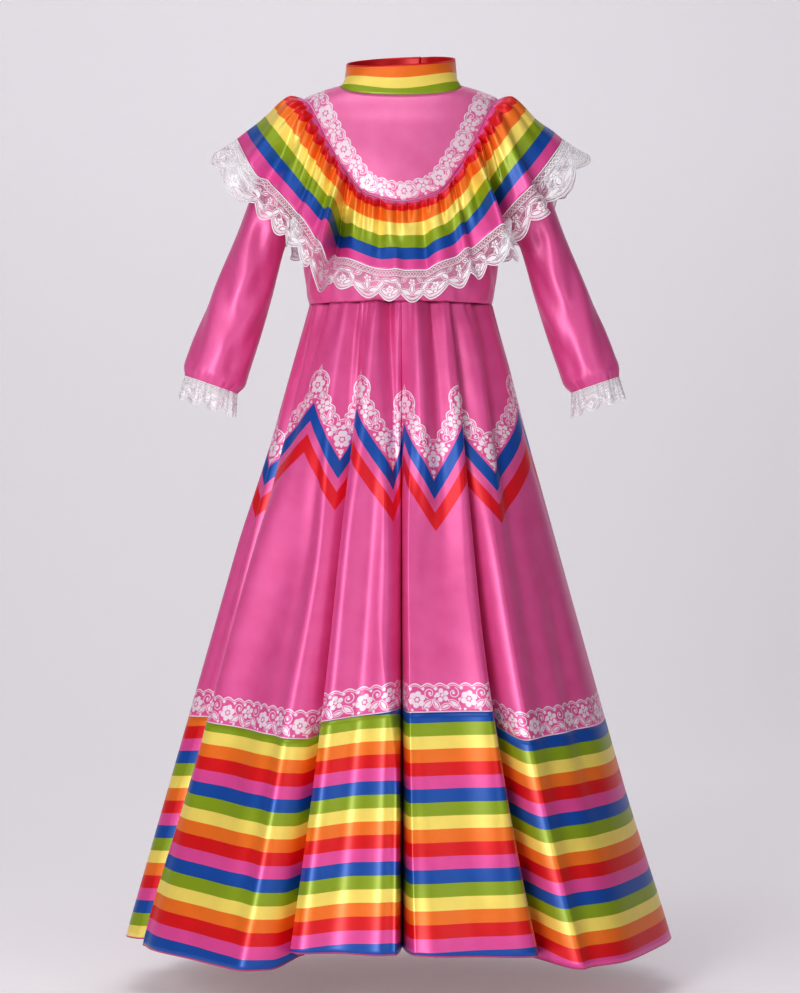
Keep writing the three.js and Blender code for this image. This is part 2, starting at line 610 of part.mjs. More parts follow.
// Skirt gores and the tier panels below them, meeting in the valleys between folds
for (const { name, first, folds } of gores) {
  const us = evenly(first, first + folds, folds * FOLD.columns);
  sew("skirt_" + name, wall(skirtSurface, { us, vs: SKIRT_ROWS, thick: CLOTH, ...seam }), pinkSatin);
  sew("tier_" + name, wall(tierSurface, { us, vs: TIER_ROWS, thick: CLOTH, ...seam }), stripedSatin);
}

export default dress;
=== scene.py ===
import math

import bmesh
import bpy
import numpy as np
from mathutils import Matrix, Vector


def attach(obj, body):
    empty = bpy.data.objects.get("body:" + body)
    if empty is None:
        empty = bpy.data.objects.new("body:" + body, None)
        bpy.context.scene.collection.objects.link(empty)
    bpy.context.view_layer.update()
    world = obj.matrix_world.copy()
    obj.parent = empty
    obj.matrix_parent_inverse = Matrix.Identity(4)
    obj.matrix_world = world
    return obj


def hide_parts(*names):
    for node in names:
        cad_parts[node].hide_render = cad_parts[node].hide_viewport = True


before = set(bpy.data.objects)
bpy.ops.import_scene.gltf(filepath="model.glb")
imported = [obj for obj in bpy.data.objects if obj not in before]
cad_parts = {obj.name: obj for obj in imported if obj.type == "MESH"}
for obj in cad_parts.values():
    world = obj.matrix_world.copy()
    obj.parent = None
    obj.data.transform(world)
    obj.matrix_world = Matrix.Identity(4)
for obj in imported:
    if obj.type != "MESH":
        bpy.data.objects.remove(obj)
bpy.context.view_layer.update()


# Yoke
# The smooth top of the dress over the shoulders and chest, cut from pink satin in one front and
# two backs. A border of white lace is printed on it along the seam that the flounce hangs from.
MM = 0.001
TURN = math.pi / 180
CLOTH = 0.6
SEAM_LEVEL = 2.2

body_form = {
    "drop": [-12, 0, 9, 16.5, 25, 38, 52, 90, 150, 200, 236, 252],
    "width": [57, 64, 92, 111, 124, 132, 134, 130, 119, 112.5, 108.5, 105.5],
    "front": [47, 50, 53, 56, 60, 65, 71, 82, 90, 88, 84, 80],
    "back": [50, 53, 57, 61, 66, 72, 77, 85, 87, 82, 79.5, 77],
}
flounce_line = {
    "angle": [-14, 0, 14, 22, 30, 38, 45, 54, 70, 90, 110],
    "seam": [136, 142, 136, 127, 103, 72, 44, 28, 19.5, 16.5, 19.5],
    "edge_x": [-34, 0, 34, 58, 84, 112, 135, 157, 177, 183, 177],
    "edge_y": [117, 118, 117, 112, 102, 86, 70, 50, 25, 0, -25],
    "edge_drop": [217, 221, 217, 206, 183, 154, 130, 104, 76, 64, 76],
}
NECK_FRONT_DROP = 19
NECK_BACK_RISE = 5
SHOULDER_SEAM = 16.5
BACK_SEAM_SHARE = 0.93


def ease(value, start, end):
    t = np.clip((value - start) / (end - start), 0, 1)
    return t * t * (3 - 2 * t)


def mix(a, b, t):
    return a + (b - a) * t


def read(table, key, column, at):
    """Reads a column at a place along the key column, on a smooth curve that ends level."""
    keys = np.asarray(table[key], float)
    values = np.asarray(table[column], float)
    slopes = np.zeros(len(keys))
    slopes[1:-1] = (values[2:] - values[:-2]) / (keys[2:] - keys[:-2])
    at = np.clip(at, keys[0], keys[-1])
    i = np.clip(np.searchsorted(keys, at, side="left") - 1, 0, len(keys) - 2)
    span = keys[i + 1] - keys[i]
    t = (at - keys[i]) / span
    rise = 3 * t**2 - 2 * t**3
    leaving = (t**3 - 2 * t**2 + t) * span * slopes[i]
    arriving = (t**3 - t**2) * span * slopes[i + 1]
    return mix(values[i], values[i + 1], rise) + leaving + arriving


def unit(vectors):
    return vectors / np.linalg.norm(vectors, axis=-1, keepdims=True)


def level(points):
    """The way straight out from the middle of the dress."""
    return unit(points * np.array([1, 1, 0]))


STEP = 1e-4


def outward(surface, u, v):
    along = surface(u + STEP, v) - surface(u - STEP, v)
    down = surface(u, v + STEP) - surface(u, v - STEP)
    return unit(np.cross(down, along))


def body_depth(z, in_front):
    return np.where(in_front, read(body_form, "drop", "front", -z), read(body_form, "drop", "back", -z))


def body_point(angle, z):
    """The worn form. Angle 0 is the front centre and 90 the wearer's left."""
    a = angle * TURN
    depth = body_depth(z, np.cos(a) > 0)
    width = read(body_form, "drop", "width", -z)
    return np.stack([width * np.sin(a), -depth * np.cos(a), z + 0 * a], -1)


def neck_z(angle):
    c = np.cos(angle * TURN)
    return np.where(c > 0, -NECK_FRONT_DROP * c * c, NECK_BACK_RISE * c * c)


def quarter(angle):
    """The angle from the nearer of the front and back centres."""
    a = np.abs((angle + 540) % 360 - 180)
    return np.where(a > 90, 180 - a, a)


def seam_z(angle):
    dip = read(flounce_line, "angle", "seam", quarter(angle)) - SHOULDER_SEAM
    share = np.where(np.cos(angle * TURN) < 0, BACK_SEAM_SHARE, 1)
    return -SHOULDER_SEAM - dip * share


def yoke_surface(angle, t):
    return body_point(angle, mix(neck_z(angle), seam_z(angle), t))


half_angles = np.linspace(0, 180, 721)
half_seam = body_point(half_angles, seam_z(half_angles))
seam_steps = np.linalg.norm(np.diff(half_seam, axis=0), axis=1)
seam_lengths = np.concatenate([[0], np.cumsum(seam_steps)])


def seam_angle(place):
    """Share 0 of the flounce seam is the front centre, 0.5 the left shoulder, 1 the back centre."""
    share = np.where(np.abs(place) > 1, place - 2 * np.sign(place), place)
    reach = np.abs(share) * seam_lengths[-1]
    return np.sign(share) * np.interp(reach, seam_lengths, half_angles)


def grid_of(surface, us, vs):
    """The points of a surface at every crossing of its columns and rows."""
    u, v = np.meshgrid(us, vs, indexing="ij")
    return surface(u, v)


def run(points, axis):
    """How far each point lies along its line of cloth."""
    steps = np.linalg.norm(np.diff(points, axis=axis), axis=-1)
    first = np.zeros_like(np.take(steps, [0], axis))
    return np.concatenate([first, np.cumsum(steps, axis)], axis)


def place_mesh(name, mesh):
    mesh.polygons.foreach_set("use_smooth", np.ones(len(mesh.polygons), bool))
    piece = bpy.data.objects.new(name, mesh)
    bpy.context.collection.objects.link(piece)
    return piece


def cut_piece(name, points, down=None, closed=False, thick=CLOTH):
    """Makes a piece from a grid of points, with the cloth's own lengths as its first UV map."""
    columns, rows = points.shape[0] - 1, points.shape[1] - 1
    bm = bmesh.new()
    bmesh.ops.create_grid(bm, x_segments=columns, y_segments=rows, size=0.5)
    mesh = bpy.data.meshes.new(name)
    bm.to_mesh(mesh)
    bm.free()
    flat = np.empty(len(mesh.vertices) * 3)
    mesh.vertices.foreach_get("co", flat)
    flat = flat.reshape(-1, 3)
    i = np.rint((flat[:, 0] + 0.5) * columns).astype(int)
    j = np.rint((0.5 - flat[:, 1]) * rows).astype(int)
    mesh.vertices.foreach_set("co", (points[i, j] * MM).ravel())
    corners = np.empty(len(mesh.loops), int)
    mesh.loops.foreach_get("vertex_index", corners)
    around = run(points, 0)
    around -= around[columns // 2]
    below = run(points, 1) if down is None else down
    lengths = np.stack([around, -below], -1) * MM
    cloth_map = mesh.uv_layers.new(name="cloth")
    cloth_map.data.foreach_set("uv", lengths[i, j][corners].ravel())
    piece = place_mesh(name, mesh)
    if closed:
        sewn = bmesh.new()
        sewn.from_mesh(mesh)
        bmesh.ops.remove_doubles(sewn, verts=sewn.verts, dist=0.01 * MM)
        sewn.to_mesh(mesh)
        sewn.free()
    if thick:
        solid = piece.modifiers.new("thickness", "SOLIDIFY")
        solid.thickness = thick * MM
        solid.offset = -1
    return piece, {"column": i[corners], "row": j[corners]}


class Field:
    """A number that varies over the cloth, worked out by the nodes of one material."""

    def __init__(self, tree, socket):
        self.tree = tree
        self.socket = socket

    def reckon(self, operation, *others):
        node = self.tree.nodes.new("ShaderNodeMath")
        node.operation = operation
        for place, value in zip(node.inputs, (self, *others)):
            if isinstance(value, Field):
                self.tree.links.new(value.socket, place)
            else:
                place.default_value = value
        return Field(self.tree, node.outputs[0])

    def __add__(self, other):
        return self.reckon("ADD", other)

    def __sub__(self, other):
        return self.reckon("SUBTRACT", other)

    def __mul__(self, other):
        return self.reckon("MULTIPLY", other)

    def __truediv__(self, other):
        return self.reckon("DIVIDE", other)

    def __neg__(self):
        return self * -1

    def __abs__(self):
        return self.reckon("ABSOLUTE")

    def part(self):
        return self.reckon("FRACT")

    def either(self, other):
        return self.reckon("MINIMUM", other)

    def both(self, other):
        return self.reckon("MAXIMUM", other)

    def cos(self):
        return self.reckon("COSINE")

    def sin(self):
        return self.reckon("SINE")

    def turn_from(self, x):
        return self.reckon("ARCTAN2", x)

    def filled(self, soft=0.5):
        """1 inside a shape and 0 outside it, from the distance to its edge."""
        fill = self.reckon("MULTIPLY_ADD", -1 / soft, 0.5)
        fill.socket.node.use_clamp = True
        return fill


def settle(node, **settings):
    """Gives a node its settings, and its sockets their numbers or the sockets joined to them."""
    for key, value in settings.items():
        if hasattr(node, key):
            setattr(node, key, value)
            continue
        place = node.inputs[key.replace("_", " ")]
        if isinstance(value, bpy.types.NodeSocket):
            node.id_data.links.new(value, place)
        else:
            place.default_value = value
    return node


def put(tree, kind, **settings):
    return settle(tree.nodes.new(kind), **settings)


def map_fields(tree, name):
    """The two numbers of a UV map, in millimetres."""
    cloth_map = put(tree, "ShaderNodeUVMap", uv_map=name)
    scaled = put(tree, "ShaderNodeVectorMath", operation="SCALE", Scale=1 / MM)
    tree.links.new(cloth_map.outputs["UV"], scaled.inputs[0])
    parted = put(tree, "ShaderNodeSeparateXYZ", Vector=scaled.outputs["Vector"])
    return Field(tree, parted.outputs["X"]), Field(tree, parted.outputs["Y"])


def reach(x, y):
    joined = put(x.tree, "ShaderNodeCombineXYZ", X=x.socket, Y=y.socket)
    length = put(x.tree, "ShaderNodeVectorMath", operation="LENGTH", Vector=joined.outputs[0])
    return Field(x.tree, length.outputs["Value"])


# Half the width of the lines that the printed and worked motifs are drawn with.
LINE = {"leaf": 0.45, "curl": 0.5, "stem": 0.55, "edge": 0.75, "fine": 0.35}
LEAF_MARGIN = 1.5
PETAL = {"away": 0.63, "size": 0.33, "eye": 0.2}
CURL = {"start": 0.38, "grow": 0.62, "bud": 0.26}


def blossom(x, y, place, size, petals, turn=0.0):
    """Round petals about a dot, as a distance to their edges."""
    x, y = x - place[0], y - place[1]
    away = reach(x, y)
    sector = (y.turn_from(x) * (petals / math.tau) + (turn + 10)).part() - 0.5
    angle = sector * (math.tau / petals)
    petal = reach(away * angle.cos() - PETAL["away"] * size, away * angle.sin()) - PETAL["size"] * size
    return petal.either(away - PETAL["eye"] * size)


def leaf(x, y, place, length, width, angle):
    """A pointed leaf: an outline round a smaller filled leaf."""
    c, s = math.cos(angle * TURN), math.sin(angle * TURN)
    x, y = x - place[0], y - place[1]
    along = (x * c + y * s) / length
    across = y * c - x * s
    edge = abs(across) + along * along * width - width
    return (abs(edge) - LINE["leaf"]).either(edge + LEAF_MARGIN)


def curl(x, y, place, size, turn=0.0):
    """A tendril wound once round, with a bud in its middle."""
    x, y = x - place[0], y - place[1]
    away = reach(x, y)
    round_by = (y.turn_from(x) / math.tau + (turn + 10)).part()
    tendril = abs(away - round_by * (CURL["grow"] * size) - CURL["start"] * size) - LINE["curl"]
    return tendril.either(away - CURL["bud"] * size)


def dot(x, y, place, size):
    return reach(x - place[0], y - place[1]) - size


def together(shapes):
    joined = shapes[0]
    for shape in shapes[1:]:
        joined = joined.either(shape)
    return joined


def motifs_at(x, y, motifs):
    return together([shape(x, y, *sizes) for shape, *sizes in motifs])


def repeated(x, length):
    return (x / length).part() * length


def scalloped(x, rise, length):
    return abs((x * (math.pi / length)).sin()) * rise


def start_group(name, inputs, output):
    """Starts a group of nodes, and gives its inputs as numbers that vary over the cloth."""
    tree = bpy.data.node_groups.new(name, "ShaderNodeTree")
    for entry in inputs:
        tree.interface.new_socket(entry, in_out="INPUT", socket_type="NodeSocketFloat")
    tree.interface.new_socket(output, in_out="OUTPUT", socket_type="NodeSocketFloat")
    entries = put(tree, "NodeGroupInput")
    return tree, [Field(tree, entries.outputs[entry]) for entry in inputs]


def end_group(tree, result):
    leave = put(tree, "NodeGroupOutput")
    tree.links.new(result.socket, leave.inputs[0])
    return tree


# The border printed on the yoke repeats these motifs along its length, above its straight edge.
BORDER = {"stem_swing": 0.26, "stem_at": 0.5, "foot_at": 0.4, "foot": 0.9, "margin": 1.2, "inner_edge": 2.2}
YOKE_BORDER = {
    "repeat": 52,
    "top": 19.5,
    "scallop": (2.6, 13),
    "motifs": [
        (blossom, (12, 11.5), 11.2, 6, 0.2),
        (blossom, (37.5, 13), 8.6, 5, 0.1),
        (leaf, (25, 6.5), 7.0, 3.4, 28),
        (leaf, (25.5, 14.5), 6.0, 2.8, 130),
        (leaf, (47, 7), 6.6, 3.2, -32),
        (curl, (48, 15.5), 4.4, 0.7),
        (dot, (30.5, 19.5), 1.5),
        (dot, (1.5, 19), 1.5),
        (dot, (30.5, 11), 1.5),
        (dot, (1.2, 4), 1.7),
        (dot, (37, 3.5), 1.7),
        (dot, (19.5, 19.8), 1.3),
    ],
}


def border_group(name, border):
    """A printed lace border: 1 where it is white, from places along and above its edge."""
    tree, (x, y) = start_group(name, ("Along", "Above"), "White")
    motifs = motifs_at(repeated(x, border["repeat"]), y, border["motifs"])
    swing = (x * (math.tau / border["repeat"] * 2)).sin() * (border["top"] * BORDER["stem_swing"])
    stem = abs(y - swing - border["top"] * BORDER["stem_at"]) - LINE["stem"]
    top = y - scalloped(x, *border["scallop"]) - border["top"]
    edge = (abs(top) - LINE["edge"]).either(abs(top + BORDER["inner_edge"]) - LINE["fine"])
    foot = abs(y - BORDER["foot_at"]) - BORDER["foot"]
    inner = motifs.either(stem).both(top + BORDER["margin"])
    return end_group(tree, inner.either(edge).either(foot).filled())


yoke_border = border_group("printed lace border of the yoke", YOKE_BORDER)


def print_with(group, *places):
    """Lays a printed group on the cloth at the places given."""
    tree = places[0].tree
    node = put(tree, "ShaderNodeGroup", node_tree=group)
    for place, entry in zip(places, node.inputs):
        tree.links.new(place.socket, entry)
    return Field(tree, node.outputs[0])


def blend_colour(tree, share, under, over):
    """Mixes two colours by a share, each a plain colour or another node's."""
    node = put(tree, "ShaderNodeMix", data_type="RGBA")
    tree.links.new(share.socket, node.inputs["Factor"])
    for place, value in ((node.inputs[6], under), (node.inputs[7], over)):
        if isinstance(value, bpy.types.NodeSocket):
            tree.links.new(value, place)
        else:
            place.default_value = value
    return node.outputs[2]


PINK = (0.70, 0.104, 0.315, 1)
PINK_LIGHT = (0.81, 0.18, 0.43, 1)
# The yoke's two pinks are paler copies of the bodice pink: painted sheen and light, for the yoke's
# upward-facing top catching the lamps.
YOKE_PINK_WITH_PAINTED_SHEEN = (0.74, 0.16, 0.37, 1)
YOKE_PINK_LIGHT_WITH_PAINTED_SHEEN = (0.83, 0.25, 0.49, 1)
LACE_PRINT = (0.86, 0.78, 0.83, 1)
SATIN = {"roughness": 0.4, "uneven": 0.08, "weave": 3200, "float": 0.28, "slub": 38, "crumple": 22}


def new_material(name):
    material = bpy.data.materials.new(name)
    material.use_nodes = True
    tree = material.node_tree
    return material, tree, tree.nodes["Principled BSDF"]


def noise(tree, socket, scale, detail=1.0, **settings):
    """Soft unevenness over the cloth, from 0 to 1."""
    node = put(tree, "ShaderNodeTexNoise", Vector=socket, Scale=scale, Detail=detail, **settings)
    return Field(tree, node.outputs["Fac"])


def relief(tree, height, strength, distance, **under):
    """Fine relief, too small to model, laid over any that is under it."""
    node = put(tree, "ShaderNodeBump", Height=height.socket, Strength=strength, Distance=distance, **under)
    return node.outputs["Normal"]


def satin(name, colour_of):
    """Polyester satin: smooth and lustrous, with a fine weave of long floats."""
    material, tree, shader = new_material(name)
    cloth = put(tree, "ShaderNodeUVMap", uv_map="cloth").outputs["UV"]
    floats = put(tree, "ShaderNodeMapping", Vector=cloth, Scale=(1, SATIN["float"], 1))
    weave = noise(tree, floats.outputs["Vector"], SATIN["weave"])
    slub = noise(tree, cloth, SATIN["slub"], detail=3.0)
    crumple = noise(tree, cloth, SATIN["crumple"], detail=2.0, Roughness=0.4)
    fine = relief(tree, weave, strength=0.18, distance=0.0002)
    dull = slub * SATIN["uneven"] + (SATIN["roughness"] - SATIN["uneven"] / 2)
    settle(
        shader,
        Normal=relief(tree, crumple, strength=0.22, distance=0.002, Normal=fine),
        Roughness=dull.socket,
        Base_Color=colour_of(tree, slub),
        Metallic=0.2,
        Specular_IOR_Level=0.7,
        Coat_Weight=0.45,
        Coat_Roughness=0.42,
        Coat_Tint=(1, 0.86, 0.93, 1),
        Sheen_Weight=0.03,
    )
    return material


def pink_colour(tree, slub):
    return blend_colour(tree, slub, PINK, PINK_LIGHT)


def yoke_colour(tree, slub):
    # The pink under the print is painted paler than the bodice's, as painted sheen and light on the yoke.
    white = print_with(yoke_border, *map_fields(tree, "border"))
    return blend_colour(tree, white, blend_colour(tree, slub, YOKE_PINK_WITH_PAINTED_SHEEN, YOKE_PINK_LIGHT_WITH_PAINTED_SHEEN), LACE_PRINT)


pink_satin = satin("pink satin", pink_colour)
yoke_satin = satin("pink satin with painted sheen and printed lace border", yoke_colour)

SEAM_ROLL = {"deep": 1.0, "wide": 3.0}
whole_seam = np.concatenate([half_seam[::-1] * [-1, 1, 1], half_seam[1:]])
whole_run = run(whole_seam[:, None], 0)[:, 0]


def add_map(piece, made, name, x, y):
    """Adds a UV map from two numbers for each point of the grid, in millimetres."""
    values = np.stack(np.broadcast_arrays(x, y), -1)[made["column"], made["row"]]
    cloth_map = piece.data.uv_layers.new(name=name)
    cloth_map.data.foreach_set("uv", (values * MM).ravel())


def beside_seam(points):
    """How far along the flounce seam each point is, and how far from it."""
    flat = points.reshape(-1, 3)
    nearest = np.empty((len(flat), 2))
    for k, point in enumerate(flat):
        gaps = np.linalg.norm(whole_seam - point, axis=1)
        best = int(np.argmin(gaps))
        nearest[k] = whole_run[best], gaps[best]
    return nearest.reshape(*points.shape[:2], 2)


def yoke_cloth(angle, t):
    """The yoke lies on the worn form, and rolls in slightly at the seam."""
    base = yoke_surface(angle, t)
    long = np.linalg.norm(yoke_surface(angle, 1 + 0 * t) - yoke_surface(angle, 0 * t), axis=-1)
    roll = np.exp(-(((1 - t) * long / SEAM_ROLL["wide"]) ** 2))
    lift = SEAM_LEVEL - SEAM_ROLL["deep"] * roll
    return base + outward(yoke_surface, angle, t) * lift[..., None]


YOKE_GRID = {"columns": 220, "rows": 26}
yoke_pieces = [
    ("yoke_front", -0.5, 0.5, (0.34, 0.15), 0.0255),
    ("yoke_back_left", 0.5, 1, (0.17, 0.14), 0.014),
    ("yoke_back_right", -1, -0.5, (0.17, 0.14), 0.014),
]
for node, start, end, flat, area in yoke_pieces:
    columns = int(YOKE_GRID["columns"] * (end - start))
    angles = seam_angle(np.linspace(start, end, columns + 1))
    rows = np.linspace(0, 1, YOKE_GRID["rows"] + 1)
    piece, made = cut_piece(node + "_cloth", grid_of(yoke_cloth, angles, rows))
    beside = beside_seam(grid_of(yoke_surface, angles, rows))
    add_map(piece, made, "border", beside[..., 0], beside[..., 1])
    piece.data.materials.append(yoke_satin)
    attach(piece, "root")
    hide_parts(node)


# Collar
# A stand collar in the striped satin, cut as one band and stiffened, sewn to the neckline. Its
# ends lap at the back, where the dress closes.
COLLAR = {"width": 62.6, "front": 52.5, "back": 50, "middle": 29.5, "tilt": 12.5, "lean": 3}
COLLAR_SPAN = (-201.5, 178)
COLLAR_LAP = {"from": 140, "to": 154, "rise": 2.4}
COLLAR_WAVES = [(-58, 0.5, 14), (-22, -0.4, 12), (31, 0.5, 16), (74, -0.5, 15), (150, 0.6, 18)]
COLLAR_GRID = {"columns": 150, "rows": 14}

RED = (0.72, 0.006, 0.012, 1)
ORANGE = (0.86, 0.235, 0.022, 1)
YELLOW = (0.90, 0.78, 0.19, 1)
GREEN = (0.30, 0.43, 0.014, 1)
BLUE = (0.006, 0.11, 0.43, 1)
STRIPE_PINK = (0.76, 0.11, 0.37, 1)
DYE_UNEVEN = 0.16


def stripes(tree, place, colours):
    """Even stripes, one to each whole number of the place."""
    around = (place / len(colours)).part()
    ramp = put(tree, "ShaderNodeValToRGB")
    ramp.color_ramp.interpolation = "CONSTANT"
    stops = ramp.color_ramp.elements
    stops[0].color = colours[0]
    stops[1].position = 1 / len(colours)
    stops[1].color = colours[1]
    for k, colour in enumerate(colours[2:], 2):
        stops.new(k / len(colours)).color = colour
    tree.links.new(around.socket, ramp.inputs["Fac"])
    return ramp.outputs["Color"]


def shaded(tree, slub, colour):
    """Slightly uneven dye over the stripes."""
    value = slub * DYE_UNEVEN + (1 - DYE_UNEVEN / 2)
    tone = put(tree, "ShaderNodeHueSaturation", Color=colour, Value=value.socket)
    return tone.outputs["Color"]


COLLAR_STRIPE = 13.0
COLLAR_FIRST = 0.83
COLLAR_DRIFT = {"from": 70, "to": 125, "by": 10.4}


def collar_colour(tree, slub):
    x, y = map_fields(tree, "stripe")
    place = y / COLLAR_STRIPE + COLLAR_FIRST
    return shaded(tree, slub, stripes(tree, place, [RED, ORANGE, YELLOW, GREEN, BLUE, STRIPE_PINK]))


def collar_surface(angle, t):
    a = angle * TURN
    foot = body_point(angle, neck_z(angle))
    foot = foot + outward(yoke_surface, angle, 0 * t) * SEAM_LEVEL
    depth = np.where(np.cos(a) > 0, COLLAR["front"], COLLAR["back"])
    height = COLLAR["middle"] - COLLAR["tilt"] * np.cos(a) + COLLAR["lean"] * np.sin(a)
    top = np.stack([COLLAR["width"] * np.sin(a), -depth * np.cos(a), height], -1)
    point = mix(top, foot, t[..., None])
    lift = COLLAR_LAP["rise"] * ease(angle, COLLAR_LAP["from"], COLLAR_LAP["to"])
    for place, rise, wide in COLLAR_WAVES:
        lift = lift + rise * np.exp(-(((angle - place) / wide) ** 2)) * (1 - t)
    return point + level(point) * lift[..., None]


angles = np.linspace(*COLLAR_SPAN, COLLAR_GRID["columns"] + 1)
points = grid_of(collar_surface, angles, np.linspace(0, 1, COLLAR_GRID["rows"] + 1))
collar, made = cut_piece("collar_cloth", points, thick=1.4)
off_grain = COLLAR_DRIFT["by"] * ease(np.abs(angles), COLLAR_DRIFT["from"], COLLAR_DRIFT["to"])
add_map(collar, made, "stripe", 0, run(points, 1) - off_grain[:, None])
collar.data.materials.append(satin("striped satin of the collar", collar_colour))
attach(collar, "root")
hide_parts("collar")


# Bodice
# The front and back of the body, in plain pink satin, joined at the sides. They run from under
# the yoke down to the waist, where they are lightly gathered into the waist seam.
WAIST_Z = -252
YOKE_OVERLAP = 3
BODICE_LIFT = 0.6
CREASE_START = (-0.25, 0.3)
CREASE_END = (0.7, 1.25)
ARMHOLE = {"drop": 88, "half_height": 60, "half_depth": 46, "ease": 0.5, "rim": 0.93}
BODICE_GATHERS = {"count": 74, "fade": (16, 70), "rise": (0.5, 1.5), "wide": (2.2, 4.2)}
BODICE_CREASES = [
    (62, -196, 88, -236, 2.4, 7),
    (70, -170, 96, -205, 2.0, 8),
    (-60, -190, -86, -232, 2.6, 7),
    (-74, -165, -94, -200, 1.8, 8),
    (118, -120, 150, -150, 2.2, 9),
    (-116, -118, -152, -146, 2.0, 9),
    (100, -210, 128, -240, 2.0, 7),
    (-102, -204, -126, -238, 2.2, 7),
    (30, -228, 44, -250, 1.4, 6),
    (-26, -230, -40, -250, 1.3, 6),
]
BODICE_GRID = {"columns": 150, "rows": 64}
bodice_chance = np.random.default_rng(31)
UNEVEN = 0.34


def spread(chance, low, high, table, *sizes):
    """Uneven places, one in each even share of a stretch, each with sizes from the table's ranges."""
    count = table["count"]
    places = np.arange(count) + 0.5 + chance.uniform(-UNEVEN, UNEVEN, count)
    columns = [low + places / count * (high - low)]
    columns += [chance.uniform(*table[size], count) for size in sizes]
    return np.stack(columns, -1)


bodice_gathers = spread(bodice_chance, -180, 180, BODICE_GATHERS, "rise", "wide", "fade")


def crease_lift(x, y, creases):
    """Soft troughs along straight lines, each from one place to another."""
    lift = 0 * x
    for x0, y0, x1, y1, deep, wide in creases:
        long = math.hypot(x1 - x0, y1 - y0)
        cos, sin = (x1 - x0) / long, (y1 - y0) / long
        along = ((x - x0) * cos + (y - y0) * sin) / long
        across = (y - y0) * cos - (x - x0) * sin
        shown = ease(along, *CREASE_START) * (1 - ease(along, *CREASE_END))
        lift = lift - deep * np.exp(-((across / wide) ** 2)) * shown
    return lift


def bodice_cloth(angle, t):
    turned = (angle + 180) % 360 - 180
    z = mix(seam_z(angle) + YOKE_OVERLAP, WAIST_Z, t)
    lift = crease_lift(turned, z, BODICE_CREASES)
    for place, rise, wide, fade in bodice_gathers:
        apart = (turned - place + 180) % 360 - 180
        lift = lift - rise * np.exp(-((apart / wide) ** 2)) * np.exp((WAIST_Z - z) / fade)
    lift = lift + BODICE_LIFT - SEAM_ROLL["deep"] * np.exp(-(((z - WAIST_Z) / SEAM_ROLL["wide"]) ** 2))
    base = body_point(angle, z)
    return base + level(base) * lift[..., None]


def cut_armholes(piece):
    """Takes away the cloth inside each armhole, and trims its rim to the oval."""
    bm = bmesh.new()
    bm.from_mesh(piece.data)
    inside = []
    for v in bm.verts:
        y = v.co.y / MM / (ARMHOLE["half_depth"] + ARMHOLE["ease"])
        z = (v.co.z / MM + ARMHOLE["drop"]) / (ARMHOLE["half_height"] + ARMHOLE["ease"])
        away = math.hypot(y, z)
        if away < ARMHOLE["rim"]:
            inside.append(v)
        elif away < 1.0:
            v.co.y /= away
            v.co.z = (v.co.z / MM + ARMHOLE["drop"]) / away * MM - ARMHOLE["drop"] * MM
    bmesh.ops.delete(bm, geom=inside, context="VERTS")
    bm.to_mesh(piece.data)
    bm.free()


for node, start in (("bodice_front", -90), ("bodice_back", 90)):
    angles = np.linspace(start, start + 180, BODICE_GRID["columns"] + 1)
    points = grid_of(bodice_cloth, angles, np.linspace(0, 1, BODICE_GRID["rows"] + 1))
    piece, made = cut_piece(node + "_cloth", points)
    cut_armholes(piece)
    piece.data.materials.append(pink_satin)
    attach(piece, "root")
    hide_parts(node)


# Flounce
# A straight strip of the striped satin, gathered on its upper edge into the seam of the yoke,
# in a front half and a back half joined at the shoulders. It hangs in uneven folds.
flounce_chance = np.random.default_rng(12)
# Each fold: its place, how deep and wide it is, which side is sharp, and how far that side hangs down.
FLOUNCE_FOLDS = [
    (-0.405, 14, 17, -1, 7),
    (-0.165, 29, 19, -1, 25),
    (0.285, 30, 26, -1, 22),
    (0.395, 13, 15, -1, 5),
    (0.58, 10, 17, 1, 3),
    (0.76, 14, 18, -1, 6),
    (0.93, 12, 18, 1, 5),
    (-0.87, 15, 17, 1, 7),
    (-0.71, 11, 16, -1, 4),
    (-0.57, 12, 17, 1, 4),
    (0.06, 6, 22, 1, 0),
    (-0.29, 6, 20, 1, 0),
    (0.17, 7, 16, -1, 0),
]
FOLD_STEEP = 0.28
FOLD_RIDGE = {"rise": 0.6, "away": 0.75, "wide": 0.55}
FLOUNCE_EDGE = 1150
FLOUNCE_ROOT = {"to": 0.14, "rise": 6.5, "gone": 0.75, "roll": 0.04}
FLOUNCE_FOLD_ZONE = (0.05, 0.75)
FOLD_HANG = {"from": 0.15, "fade": 1.6}
FLOUNCE_PUFF = {"rise": 6.5, "power": 0.6}
GATHER_WIDE = {"seam": 0.8, "open": 1.6}
GATHER_START = (-0.02, 0.09)
GATHER_END = (0.25, 1.5)
RIPPLE_WIDE = {"seam": 0.6, "open": 0.5}
FLOUNCE_GATHERS = {"count": 62, "deep": (5.0, 12.0), "wide": (2.8, 5.6), "fade": (0.25, 0.9)}
FLOUNCE_RIPPLES = {"count": 34, "rise": (0.8, 4.2), "wide": (6, 13), "start": (0.02, 0.4)}
GATHERS_DRAW = {"by": 0.8, "to": 0.7}
FLOUNCE_GRID = {"columns": 470, "rows": 46, "crowd": 1.25}
FLOUNCE_STRIPE = 13.4
FLOUNCE_FIRST = 0.4
FLOUNCE_TURNED = 2
FLOUNCE_LENGTH = FLOUNCE_STRIPE * (6 + FLOUNCE_FIRST) - FLOUNCE_TURNED
LAST_STRIPE_OVER = 1.5

flounce_gathers = spread(flounce_chance, -1, 1, FLOUNCE_GATHERS, "deep", "wide", "fade")
flounce_ripples = spread(flounce_chance, -1, 1, FLOUNCE_RIPPLES, "rise", "wide", "start")


def is_back(angle):
    return np.cos(angle * TURN) < 0


